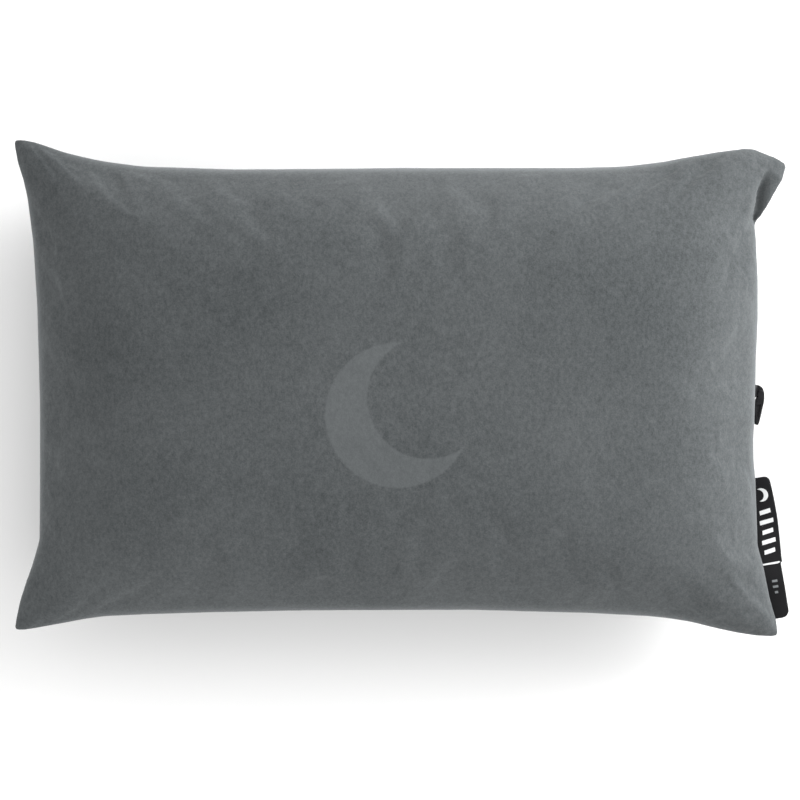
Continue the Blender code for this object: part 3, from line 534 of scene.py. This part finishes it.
def bend_ear(front, back):
    """Folds the upper right corner: its flap curls up and a valley parts it from the body's round crest."""
    crest_y, crest_x = np.array(EAR_CREST).T
    edge_y, edge_x = np.array(EAR_EDGE).T
    for side, surface in ((1, front), (-1, back)):
        x, y = surface[..., 0], surface[..., 1]
        crest = np.interp(y, crest_y, crest_x)
        width = np.maximum(np.interp(y, edge_y, edge_x) - crest, 0.001)
        beyond = x - crest
        share = np.clip(beyond / width, 0, 1)
        along = smoothstep(edge_y[0], edge_y[0] + 0.004, y)
        depth = along * (1 - smoothstep(0.108, 0.1265, y))
        level = EAR_LIFT * along * (1 - 0.75 * smoothstep(0.108, 0.132, y))
        surface[..., 2] += level * smoothstep(0, 1, share)
        if side == 1:
            shoulder = smoothstep(-0.0060, 0.0002, beyond) * (beyond < width) * depth
            surface[..., 2] -= EAR_SHOULDER * shoulder**2 * (1 - share)
            narrowing = 1.3 + 3.0 * smoothstep(0.100, 0.1235, y)
            belly = EAR_BELLY * 4 * share * (1 - share)
            flap = SEAM + 0.0012 + level + belly - EAR_DEPTH * (1 - share) ** narrowing
            held = depth * smoothstep(-0.0003, 0.0012, beyond)
            surface[..., 2] += held * (flap - surface[..., 2])
            surface[..., 0] -= EAR_UNDERCUT * np.exp(-((beyond - 0.0010) / 0.0010) ** 2) * depth
        else:
            surface[..., 2] -= EAR_SAG * depth * smoothstep(-0.6, 0.1, beyond / width) * (1 - share)
    front[..., 2] = np.maximum(front[..., 2], back[..., 2] + 0.0009)


def rim_loop(rows, columns):
    """Indices of a grid's rim points, in order round it."""
    index = np.arange(rows * columns).reshape(rows, columns)
    return np.concatenate([index[:-1, 0], index[-1, :-1], index[:0:-1, -1], index[0, :0:-1]])


def seam_band(front, back):
    """Turned-in edges: rings of points from the front panel's edge to the back one's."""
    rows, columns = front.shape[:2]
    loop = rim_loop(rows, columns)
    upper, lower = front.reshape(-1, 3)[loop], back.reshape(-1, 3)[loop]
    along = np.roll(upper, -1, axis=0) - np.roll(upper, 1, axis=0)
    inward = np.stack([-along[:, 1], along[:, 0], 0 * along[:, 0]], axis=-1)
    inward /= np.linalg.norm(inward, axis=-1, keepdims=True)
    corners = np.array([0, rows - 1, rows + columns - 2, 2 * rows + columns - 3])
    size, half = len(loop), len(loop) // 2
    steps = np.abs((np.arange(size)[:, None] - corners + half) % size - half).min(axis=1)
    room = smoothstep(0, 9, steps)
    at_zip = zip_share(upper[:, 1]) * (upper[:, 0] > 0.19)
    depth = (room * (GROOVE + (ZIP_RECESS - GROOVE) * at_zip) + 0.0001)[:, None]
    middle = (upper + lower) / 2
    rings = []
    for edge, order in ((upper, LIP), (lower, LIP[::-1])):
        for step, share, near, open_near in order:
            keep = (near + (open_near - near) * at_zip)[:, None]
            rings.append(middle + (edge - middle) * keep + inward * (step + depth * share))
    return loop, rings


def cover_surfaces():
    """Both panels' points, with the simulated folds."""
    u, v = grid((2 * GRID[0], 2 * GRID[1]))
    front, back = front_surface(u, v), back_surface(u, v)
    cu, cv = grid(GRID)
    start = [front_surface(cu, cv), back_surface(cu, cv)]
    nearness = 1 - smoothstep(0.0, 0.030, edge_distance(cu, cv))
    settled = inflate(*start, nearness)
    front = puffed(front, settled[0] - start[0], 1, *FRONT_SHARES, edge_distance(u, v))
    back = puffed(back, settled[1] - start[1], -1, *BACK_SHARES, edge_distance(u, v))
    back[..., 2] = np.maximum(back[..., 2], 0)
    front[..., 2] = np.maximum(front[..., 2], np.where(edge_distance(u, v) > 1e-6, SEAM - 0.002, 0))
    bend_ear(front, back)
    return front, back


def build_cover():
    """Both panels and their turned-in edge as one padded piece."""
    front, back = cover_surfaces()
    rows, columns = front.shape[:2]
    count = rows * columns
    loop, rings = seam_band(front, back)
    points = np.concatenate([front.reshape(-1, 3), back.reshape(-1, 3), *rings])
    faces = [quads_of(rows, columns), quads_of(rows, columns, first=count)[:, ::-1]]
    ring_indices = [loop] + [2 * count + k * len(loop) + np.arange(len(loop)) for k in range(len(rings))]
    ring_indices.append(loop + count)
    for near, far in zip(ring_indices[:-1], ring_indices[1:]):
        faces.append(np.stack([near, far, np.roll(far, -1), np.roll(near, -1)], axis=-1))
    mesh = bpy.data.meshes.new("pillow_cover")
    mesh.from_pydata(points.tolist(), [], np.concatenate(faces).tolist())
    cover = new_object("pillow_cover", mesh, material=MATERIALS["microsuede"])
    mesh.materials.append(MATERIALS["backing"])
    half = len(faces[0])
    material = np.zeros(len(mesh.polygons), int)
    material[half : 2 * half] = 1
    material[2 * half + 4 * len(loop) :] = 1
    mesh.polygons.foreach_set("material_index", material)
    cut_valve_recess(cover)
    cover.data.shade_smooth()
    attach(cover, "pillow")
    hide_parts("cover_front_panel", "cover_back_panel")
    return front, back


def valve_place():
    """The way its button is pressed, into the pillow, and the middle of its flange."""
    inward = Vector(joint_of("valve_press")["axis"]).normalized()
    low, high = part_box("valve_flange")
    return inward, (low + high) / 2


def cut_valve_recess(cover):
    """A round opening through the back panel, in which the valve's neck sits."""
    inward, centre = valve_place()
    bm = bmesh.new()
    radius = RECESS_RADIUS
    bmesh.ops.create_cone(
        bm, cap_ends=True, segments=64, radius1=radius, radius2=radius, depth=RECESS_DEPTH
    )
    mesh = bpy.data.meshes.new("valve_cutter")
    bm.to_mesh(mesh)
    bm.free()
    cutter = new_object("valve_cutter", mesh)
    cutter.matrix_world = Matrix.Translation(centre) @ inward.to_track_quat("Z", "Y").to_matrix().to_4x4()
    cut(cover, [cutter])


# ---------------------------- meshes of the small pieces


def joined(parts):
    """One (points, faces) from several."""
    points, faces, first = [], [], 0
    for some, polygons in parts:
        points.extend(tuple(p) for p in some)
        faces.extend([index + first for index in polygon] for polygon in polygons)
        first = len(points)
    return points, faces


def solid_mesh(name, parts):
    """One mesh of several (points, faces), with its faces turned outwards."""
    mesh = bpy.data.meshes.new(name)
    points, faces = joined(parts)
    mesh.from_pydata(points, [], faces)
    bm = bmesh.new()
    bm.from_mesh(mesh)
    bmesh.ops.recalc_face_normals(bm, faces=bm.faces)
    bm.to_mesh(mesh)
    bm.free()
    return mesh


def add_piece(name, parts, body, slot, replaces=(), smooth_angle=40, material=None):
    mesh = solid_mesh(name, parts)
    piece = new_object(name, mesh, body, MATERIALS[material or slot], replaces)
    mesh.shade_smooth()
    mesh.set_sharp_from_angle(angle=math.radians(smooth_angle))
    return piece


def add_bevel(piece, width):
    bevel = piece.modifiers.new("edges", "BEVEL")
    bevel.width, bevel.segments, bevel.limit_method = width, 2, "ANGLE"
    bevel.angle_limit = math.radians(35)
    bevel.use_clamp_overlap = True


def shell(upper, lower):
    """A closed sheet between two grids of points, joined along their rims."""
    rows, columns = upper.shape[:2]
    count = rows * columns
    loop = rim_loop(rows, columns)
    following = np.roll(loop, -1)
    faces = [*quads_of(rows, columns), *quads_of(rows, columns, first=count)[:, ::-1]]
    faces += [*np.stack([loop, loop + count, following + count, following], axis=-1)]
    return np.concatenate([upper.reshape(-1, 3), lower.reshape(-1, 3)]), [list(map(int, f)) for f in faces]


def prism(outline_points, heights):
    """A solid from rings of the same outline, one at each (height, scale about its centre)."""
    ring = np.array(outline_points)
    centre = ring.mean(axis=0)
    points = []
    for height, scale in heights:
        flat = centre + (ring - centre) * scale
        points += [(x, y, height) for x, y in flat]
    size = len(ring)
    faces = [list(range(size))[::-1], [(len(heights) - 1) * size + k for k in range(size)]]
    for level in range(len(heights) - 1):
        for k in range(size):
            after = (k + 1) % size
            base = level * size
            faces.append([base + k, base + after, base + size + after, base + size + k])
    return points, faces


def tube(path, radius, sides=8, taper=0.35):
    """A closed round thread along a path of points, drawn in at both ends."""
    path = [Vector(p) for p in path]
    points, faces = [], []
    for number, place in enumerate(path):
        ahead, behind = path[min(number + 1, len(path) - 1)], path[max(number - 1, 0)]
        turn = (ahead - behind).to_track_quat("Z", "X")
        thickness = radius * (taper if number in (0, len(path) - 1) else 1.0)
        for k in range(sides):
            angle = 2 * math.pi * k / sides
            around = Vector((thickness * math.cos(angle), thickness * math.sin(angle), 0))
            points.append(place + turn @ around)
    for ring in range(len(path) - 1):
        for k in range(sides):
            after = (k + 1) % sides
            a, b = ring * sides, (ring + 1) * sides
            faces.append([a + k, a + after, b + after, b + k])
    last = (len(path) - 1) * sides
    faces += [list(range(sides))[::-1], [last + k for k in range(sides)]]
    return points, faces


def stitches(line, normals, length, gap, radius):
    """Stitches along a line of points, each a short thread that dips into the cloth at its ends."""
    steps = np.linalg.norm(np.diff(line, axis=0), axis=1)
    travel = np.concatenate([[0], np.cumsum(steps)])
    parts = []
    start = gap
    while start + length < travel[-1]:
        path = []
        for share in np.linspace(0, 1, 6):
            at = start + share * length
            place = np.array([np.interp(at, travel, line[:, k]) for k in range(3)])
            normal = np.array([np.interp(at, travel, normals[:, k]) for k in range(3)])
            path.append(place + normal * radius * (1.9 * math.sin(math.pi * share) - 0.7))
        parts.append(tube(path, radius))
        start += length + gap
    return parts


# ---------------------------- label

LABEL_TOP = Vector((0.2089, -0.0492))  # its outer upper corner
LABEL_DOWN = Vector((0.158, -0.9874))  # along its folded edge
LABEL_IN = Vector((-0.9874, -0.158))  # from its folded edge towards the seam
LABEL_LENGTH, LABEL_REACH = 0.0804, 0.0150
LABEL_JOIN = 0.0490  # where its two lengths of webbing meet
LABEL_HALF = 0.00055  # half its thickness
LABEL_CORNERS = (0.0030, 0.0042)  # radius of its upper and its lower corner
MARK_LIFT, MARK_DEPTH = 0.00010, 0.0002  # a woven mark's height over the webbing, and its thickness
MARK_GRID = (6, 5)
MOON_STEPS = 22
BAR_MIDDLE, BAR_START, BAR_PITCH = 0.0064, 0.0180, 0.0056
BAR_WIDTHS = (0.0062, 0.0078, 0.0062, 0.0078, 0.0062)
SMALL_MIDDLE, SMALL_START, SMALL_PITCH, SMALL_HEIGHT = 0.0052, 0.0585, 0.0032, 0.0013
SMALL_WIDTHS = (0.0030, 0.0030, 0.0018)


def label_edge(t):
    """How far in from the straight line its folded edge runs, t along it."""
    bow = -0.0011 * np.sin(np.clip(t / 0.046, 0, 1) * math.pi)
    step = 0.0009 * smoothstep(LABEL_JOIN, LABEL_JOIN + 0.0008, t)
    upper = np.clip(LABEL_CORNERS[0] - t, 0, None)
    lower = np.clip(LABEL_CORNERS[1] - (LABEL_LENGTH - t), 0, None)
    rounded = sum(r - np.sqrt(np.clip(r * r - d * d, 0, None)) for r, d in zip(LABEL_CORNERS, (upper, lower)))
    return bow + step + rounded


def label_point(s, t, side, lift=0.0):
    """The label's surface s in from its folded edge and t along it, on side +1 or -1."""
    inset = s + label_edge(t)
    x = LABEL_TOP.x + LABEL_IN.x * inset + LABEL_DOWN.x * t
    y = LABEL_TOP.y + LABEL_IN.y * inset + LABEL_DOWN.y * t
    free = 1 - smoothstep(0.0, 0.012, s)
    wave = 0.0010 * free * np.sin(2 * math.pi * t / 0.062 + 0.6)
    wave += 0.0003 * free * np.sin(2 * math.pi * t / 0.019)
    fold = np.sqrt(np.clip(1 - (1 - np.clip(s / 0.0008, 0, 1)) ** 2, 0, 1))
    join = 1 - 0.45 * np.exp(-(((t - LABEL_JOIN) / 0.0006) ** 2))
    half = LABEL_HALF * (0.12 + 0.88 * fold) * join
    return np.stack([x, y, SEAM + wave + side * (half + lift)], axis=-1)


def raised_mark(s, t):
    """A thin patch of thread on the label's upper face, over a grid of (s, t)."""
    upper = label_point(s, t, 1, MARK_LIFT)
    return shell(upper, upper - np.array([0, 0, MARK_DEPTH]))


def label_mark(corners):
    """A woven mark on the label's upper face: the four-sided patch between corners in (s, t)."""
    (a, b, c, d) = (np.array(corner) for corner in corners)
    i, j = np.meshgrid(*(np.linspace(0, 1, n) for n in MARK_GRID), indexing="ij")
    i, j = i[..., None], j[..., None]
    place = (1 - i) * ((1 - j) * a + j * b) + i * ((1 - j) * d + j * c)
    return raised_mark(place[..., 0], place[..., 1])


def label_moon(s, t, radius, bite, offset):
    """A crescent, as a strip from its outer curve to its inner one."""
    outer, inner = [], []
    half = math.acos(np.clip((radius**2 + offset**2 - bite**2) / (2 * radius * offset), -1, 1))
    tip = math.atan2(radius * math.sin(half), radius * math.cos(half) - offset)
    for k in range(MOON_STEPS + 1):
        share = k / MOON_STEPS
        angle = half + (2 * math.pi - 2 * half) * share
        turn = tip + (2 * math.pi - 2 * tip) * share
        outer.append((s + radius * math.cos(angle), t + radius * math.sin(angle)))
        inner.append((s + offset + bite * math.cos(turn), t + bite * math.sin(turn)))
    middle = [((a + c) / 2, (b + d) / 2) for (a, b), (c, d) in zip(outer, inner)]
    rows = np.array([outer, middle, inner])
    return raised_mark(rows[..., 0], rows[..., 1])


def build_label():
    """The folded webbing, and the plain marks woven into it."""
    across = np.concatenate([np.linspace(0, 0.0008, 5), np.linspace(0.0012, LABEL_REACH, 14)])
    ends = np.linspace(0, 1, 9)[:-1] ** 1.5 * max(LABEL_CORNERS)
    join = LABEL_JOIN + np.linspace(-0.0015, 0.0015, 13)
    middle = np.linspace(0.005, LABEL_LENGTH - 0.005, 60)
    middle = middle[np.abs(middle - LABEL_JOIN) > 0.0018]
    along = np.sort(np.concatenate([ends, middle, join, LABEL_LENGTH - ends]))
    s, t = np.meshgrid(across, along, indexing="ij")
    upper, lower = label_point(s, t, 1), label_point(s, t, -1)
    add_piece("webbing_label", [shell(upper, lower)], "pillow", "black_webbing", ["side_label"], 60)

    marks = [label_moon(0.0066, 0.0100, 0.0038, 0.0034, 0.0021)]
    for number, width in enumerate(BAR_WIDTHS):
        t = BAR_START + BAR_PITCH * number
        low, high = BAR_MIDDLE - width / 2, BAR_MIDDLE + width / 2
        marks.append(label_mark(((low, t), (high, t + 0.0010), (high, t + 0.0034), (low, t + 0.0024))))
    line = LABEL_JOIN - 0.0003
    near, far = -0.0004, 0.0120
    line_corners = ((near, line - 0.0002), (far, line), (far, line + 0.0009), (near, line + 0.0010))
    marks.append(label_mark(line_corners))
    add_piece("label_marks", marks, "pillow", "black_webbing", (), 60, "pale_thread")

    small = []
    for number, width in enumerate(SMALL_WIDTHS):
        t = SMALL_START + SMALL_PITCH * number
        low, high = SMALL_MIDDLE - width / 2, SMALL_MIDDLE + width / 2
        below = t + SMALL_HEIGHT
        small.append(label_mark(((low, t), (high, t), (high, below), (low, below))))
    add_piece("label_small_marks", small, "pillow", "black_webbing", (), 60, "grey_thread")


# ---------------------------- zip


def inset_line(surface, distance, low, high):
    """A panel's points and normals that distance in from the right-hand seam, from low to high."""
    columns = [j for j in range(surface.shape[1]) if low < surface[-1, j, 1] < high]
    normal = normals_of(surface)
    line, facing = [], []
    for j in columns:
        strip = surface[::-1, j]
        travel = np.concatenate([[0], np.cumsum(np.linalg.norm(np.diff(strip, axis=0), axis=1))])
        line.append([np.interp(distance, travel, strip[:, k]) for k in range(3)])
        facing.append([np.interp(distance, travel, normal[::-1, j, k]) for k in range(3)])
    return np.array(line), np.array(facing)


def build_zip_fabric(front, back):
    """The two tapes, tucked behind the panels' turned edges, and the stitching that holds them."""
    for name, sign in (("front", 1), ("back", -1)):
        low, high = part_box(f"zip_tape_{name}")
        near, far = (low.z, high.z) if sign == 1 else (high.z, low.z)
        y, share = np.meshgrid(np.linspace(low.y, high.y, 120), np.linspace(0, 1, 7), indexing="ij")
        ripple = 0.00010 * np.sin(2 * math.pi * y / 0.0215) * share
        ripple += 0.00004 * np.sin(2 * math.pi * y / 0.0028)
        z = near + (far - near) * share
        outer = np.stack([high.x + ripple, y, z], axis=-1)
        inner = np.stack([low.x + ripple, y, z], axis=-1)
        tape = f"zip_tape_{name}"
        add_piece(f"{tape}_woven", [shell(outer, inner)], "pillow", "black_webbing", [tape])
    threads = []
    for surface, outward in ((front, 1), (back, -1)):
        line, normals = inset_line(surface, 0.0026, ZIP_LOW - 0.003, ZIP_HIGH - 0.001)
        threads += stitches(line, outward * normals, 0.0024, 0.0011, 0.00017)
    add_piece("zip_stitching", threads, "pillow", "microsuede", (), 80, "grey_thread")


def rounded(corners, steps=6):
    """A polygon from (x, y, radius) corners, each turned in an arc."""
    points = []
    count = len(corners)
    for k, (x, y, radius) in enumerate(corners):
        here = Vector((x, y))
        before = Vector(corners[k - 1][:2]) - here
        after = Vector(corners[(k + 1) % count][:2]) - here
        reach = min(radius, 0.49 * before.length, 0.49 * after.length)
        start, end = here + before.normalized() * reach, here + after.normalized() * reach
        for step in range(steps + 1):
            t = step / steps
            points.append(tuple((1 - t) ** 2 * start + 2 * t * (1 - t) * here + t**2 * end))
    return points


def cut(piece, cutters):
    """Takes each cutter out of the piece's mesh."""
    for cutter in cutters:
        modifier = piece.modifiers.new("cut", "BOOLEAN")
        modifier.operation, modifier.solver, modifier.object = "DIFFERENCE", "EXACT", cutter
        bpy.context.view_layer.update()
        done = bpy.data.meshes.new_from_object(piece.evaluated_get(bpy.context.evaluated_depsgraph_get()))
        piece.modifiers.clear()
        piece.data = done
        bpy.data.objects.remove(cutter)


def slab(outline_points, *levels):
    """A prism from the same outline at each (height over the seam, scale)."""
    return prism(outline_points, [(SEAM + height, scale) for height, scale in levels])


def cutter_of(name, part):
    return new_object(name, solid_mesh(name, [part]))


def finish_hard(piece, width):
    """Small bevels, and smooth shading between sharp edges."""
    add_bevel(piece, width)
    piece.data.shade_smooth()
    piece.data.set_sharp_from_angle(angle=math.radians(40))


def build_pull():
    """The moulded tongue: a forked head round the slider's bridge, leaning in towards the fabric below."""
    axis = Vector(joint_of("pull_swing")["pos_m"])

    def at(x, y, radius):
        return axis.x + x, axis.y + y, radius

    side = rounded([
        at(-0.0019, 0.0017, 0.0017), at(0.0016, 0.0017, 0.0017),
        at(0.0017, -0.0040, 0.0020), at(-0.0009, -0.0160, 0.0030),
        at(-0.0018, -0.0184, 0.0013), at(-0.0038, -0.0176, 0.0013),
        at(-0.0037, -0.0090, 0.0030), at(-0.0032, -0.0036, 0.0016),
        at(-0.0019, -0.0022, 0.0012),
    ])
    tongue = slab(side, (-0.0034, 0.93), (-0.0030, 1.0), (0.0030, 1.0), (0.0034, 0.93))
    pull = add_piece("zip_pull_moulded", [tongue], "zip_pull", "black_moulding", ["zip_pull"])
    for vertex in pull.data.vertices:
        down = smoothstep(0.004, 0.018, axis.y - vertex.co.y)
        vertex.co.z = SEAM + (vertex.co.z - SEAM) * (1 - 0.42 * float(down))
    notch = [at(-0.006, 0.006, 0), at(0.006, 0.006, 0), at(0.006, -0.0044, 0), at(-0.006, -0.0036, 0)]
    slot = rounded(notch, steps=1)
    dent = rounded([
        at(0.0008, -0.0066, 0.001), at(0.0030, -0.0066, 0.001),
        at(0.0020, -0.0145, 0.002), at(-0.0006, -0.0145, 0.002),
    ])
    # Hollows for the thumb, a slot for the bridge, and a dent in the outer edge
    thumb = rounded([
        at(0.0003, -0.0052, 0.0010), at(-0.0016, -0.0152, 0.0008),
        at(-0.0029, -0.0150, 0.0008), at(-0.0032, -0.0062, 0.0010),
    ])
    cut(pull, [
        cutter_of("thumb_front", slab(thumb, (0.0017, 0.6), (0.0045, 1.2))),
        cutter_of("thumb_back", slab(thumb, (-0.0045, 1.2), (-0.0017, 0.6))),
        cutter_of("slot", slab(slot, (-0.0013, 1), (0.0013, 1))),
        cutter_of("dent", slab(dent, (-0.0012, 1), (0.0012, 1))),
    ])
    finish_hard(pull, 0.00025)
    pin = tube([axis + Vector((0, 0, z)) for z in (-0.0026, -0.0013, 0.0013, 0.0026)], 0.0006, 12, 1.0)
    add_piece("zip_pull_crossbar", [pin], "zip_pull", "black_moulding")


def build_slider():
    """The slider: two plates round the chain, a post between its rows, and the pull's bridge."""
    low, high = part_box("zip_slider")
    axis = Vector(joint_of("pull_swing")["pos_m"])
    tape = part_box("zip_teeth_front")
    outer, inner = tape[1].x + 0.0003, tape[0].x - 0.0003
    top = rounded([
        (low.y, SEAM - 0.0030, 0.001), (low.y, SEAM + 0.0030, 0.001),
        (high.y - 0.0020, high.z, 0.0012), (high.y, high.z - 0.0008, 0.0012),
        (high.y, low.z + 0.0008, 0.0012), (high.y - 0.0020, low.z, 0.0012),
    ])

    def plate(near, far, size):
        soft = size * 0.95
        levels = [(near, soft), (near + 0.0002, size), (far - 0.0002, size), (far, soft)]
        points, faces = prism(top, levels)
        return [(p[2], p[0], p[1]) for p in points], faces

    hump = rounded([
        (outer + 0.0003, high.y - 0.0002, 0.0004), (outer + 0.0022, high.y - 0.0002, 0.0016),
        (high.x - 0.0006, high.y - 0.0018, 0.0016), (high.x, axis.y + 0.0002, 0.0014),
        (high.x, axis.y - 0.0018, 0.0010), (high.x - 0.0020, axis.y - 0.0021, 0.0008),
        (outer + 0.0003, axis.y - 0.0021, 0.0004),
    ])
    bridge = slab(hump, (-0.0010, 0.95), (-0.0008, 1.0), (0.0008, 1.0), (0.0010, 0.95))
    slider = add_piece(
        "zip_slider_moulded",
        [plate(outer, outer + 0.0010, 1.0), plate(inner - 0.0010, inner, 0.9), bridge],
        "zip_slider", "black_moulding", ["zip_slider"],
    )
    turn = np.linspace(0, 2 * math.pi, 25)[:-1]
    eye = [(axis.x + 0.0008 * math.cos(a), axis.y + 0.0008 * math.sin(a)) for a in turn]
    cut(slider, [cutter_of("eye", slab(eye, (-0.003, 1), (0.003, 1)))])
    finish_hard(slider, 0.00015)
    post = [(inner - 0.0004, high.y - 0.0026), (outer + 0.0004, high.y - 0.0026),
            (outer + 0.0004, high.y - 0.0010), (inner - 0.0004, high.y - 0.0010)]
    add_piece("zip_slider_post", [slab(post, (-0.0002, 1), (0.0002, 1))], "zip_slider", "black_moulding")


# ---------------------------- springs


def build_coils():
    """The buttons' two return springs, finer than in the frame."""
    for name, joint_name, turns in SPRINGS:
        joint = joint_of(joint_name)
        axis = Vector(joint["axis"]).normalized()
        across = Vector((0, 0, -1)) if abs(axis.z) < 0.5 else Vector((0, 1, 0))
        side = axis.cross(across).normalized()
        directions = (side, axis.cross(side), axis)
        node = frame["nodes"][name]
        places = [node.matrix_world @ vertex.co for vertex in node.data.vertices]
        spans = [(min(p.dot(d) for p in places), max(p.dot(d) for p in places)) for d in directions]
        centre = sum(((low + high) / 2 * d for (low, high), d in zip(spans[:2], directions)), Vector())
        radius = (spans[1][1] - spans[1][0]) / 2 - COIL_WIRE
        start, end = spans[2]
        path = []
        for share in np.linspace(0, 1, round(COIL_STEPS * turns) + 1):
            angle = 2 * math.pi * turns * share
            around = directions[0] * math.cos(angle) + directions[1] * math.sin(angle)
            along = start + COIL_WIRE + (end - start - 2 * COIL_WIRE) * share
            path.append(centre + axis * along + around * radius)
        thread = tube(path, COIL_WIRE, 10, 0.8)
        coil = add_piece(f"{name}_coil", [thread], "pillow", "steel", [name], 60)
        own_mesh(coil)


# ---------------------------- camera, floor and light


def build_stage():
    """The camera straight above the sleeping face, a plain pale floor, and two soft lights."""
    camera = new_object("camera", bpy.data.cameras.new("camera"))
    camera.location = FOCUS + Vector((0, 0, CAMERA_HEIGHT))
    camera.data.sensor_width = SENSOR
    camera.data.lens = SENSOR * CAMERA_HEIGHT / VIEW_WIDTH
    camera.data.clip_start, camera.data.clip_end = 0.01, 50.0
    SCENE.camera = camera

    floor_mesh = bpy.data.meshes.new("floor")
    bm = bmesh.new()
    bmesh.ops.create_grid(bm, x_segments=2, y_segments=2, size=6)
    bm.to_mesh(floor_mesh)
    bm.free()
    floor = new_object("floor", floor_mesh)
    floor.location.z = -0.0004
    pale = Nodes("floor", roughness=0.9)
    pale.set(Base_Color=pale.mix(pale.noise(3.0), (0.955, 0.955, 0.955), (0.975, 0.975, 0.975)))
    pale.shader.inputs["Specular IOR Level"].default_value = 0.1
    floor_mesh.materials.append(pale.material)

    build_world()
    area_light("key", KEY_PLACE, KEY_SIZE, KEY_POWER, (1.0, 1.0, 1.0))
    area_light("fill", FILL_PLACE, FILL_SIZE, FILL_POWER, (1.0, 0.99, 0.97))
    SCENE.view_settings.view_transform = "Standard"
    SCENE.view_settings.look = "None"


def build_world():
    """A pale room that is brighter towards the horizon than overhead."""
    world = bpy.data.worlds.new("studio")
    world.use_nodes = True
    tree = world.node_tree
    background = tree.nodes["Background"]
    direction = tree.nodes.new("ShaderNodeTexCoord").outputs["Generated"]
    height = tree.nodes.new("ShaderNodeSeparateXYZ")
    tree.links.new(direction, height.inputs[0])
    ramp = tree.nodes.new("ShaderNodeMapRange")
    for socket, value in zip(ramp.inputs[1:], (0.0, 1.0, HORIZON, OVERHEAD)):
        socket.default_value = value
    tree.links.new(height.outputs["Z"], ramp.inputs[0])
    tree.links.new(ramp.outputs[0], background.inputs["Strength"])
    background.inputs["Color"].default_value = (1.0, 1.0, 1.0, 1)
    SCENE.world = world


def area_light(name, place, size, power, colour):
    light = bpy.data.lights.new(name, "AREA")
    light.size = size
    light.energy = power
    light.color = colour
    obj = new_object(name, light)
    obj.location = place
    obj.rotation_mode = "QUATERNION"
    obj.rotation_quaternion = (Vector(place) - FOCUS).to_track_quat("Z", "Y")


# ---------------------------- everything

MATERIALS = {
    "microsuede": suede("microsuede", (0.043, 0.0482, 0.0502), (0.0972, 0.1045, 0.1076), emblem=True),
    "backing": suede("backing", (0.038, 0.042, 0.044), (0.070, 0.076, 0.080)),
    "foam": foam_material(),
    "coated_sheet": woven("coated_sheet", (0.34, 0.35, 0.34), (0.46, 0.47, 0.46), 1200.0, 0.55),
    "black_webbing": woven(
        "black_webbing", (0.004, 0.004, 0.0045), (0.012, 0.012, 0.013), 1400.0, 0.75, 0.05
    ),
    "black_moulding": moulded("black_moulding", (0.008, 0.008, 0.009), 0.32),
    "zip_teeth": moulded("zip_teeth", (0.014, 0.014, 0.015), 0.45),
    "silicone": moulded("silicone", (0.32, 0.32, 0.31), 0.45),
    "steel": metal("steel"),
    "pocket_mesh": woven("pocket_mesh", (0.03, 0.032, 0.034), (0.09, 0.094, 0.098), 500.0, 0.85),
    "pale_thread": woven("pale_thread", (0.56, 0.57, 0.57), (0.80, 0.81, 0.81), 1900.0, 0.7, 0.2),
    "grey_thread": woven("grey_thread", (0.13, 0.14, 0.145), (0.24, 0.25, 0.255), 1900.0, 0.7, 0.2),
    "sack_nylon": woven("sack_nylon", (0.055, 0.058, 0.062), (0.085, 0.090, 0.095), 1300.0, 0.6),
}


def dress_cad_nodes():
    """Materials for every node of the frame, and small bevels on the hard ones."""
    slots = {item["node"]: item["material_slot"] for item in frame["record"]["subparts"]}
    for name, node in frame["nodes"].items():
        for index in range(len(node.data.materials)):
            node.data.materials[index] = MATERIALS[slots[name]]
        if slots[name] in ("black_moulding", "steel", "silicone"):
            add_bevel(node, 0.00012)


build_stage()
dress_cad_nodes()
panels = build_cover()
build_zip_fabric(*panels)
build_slider()
build_pull()
build_label()
build_coils()
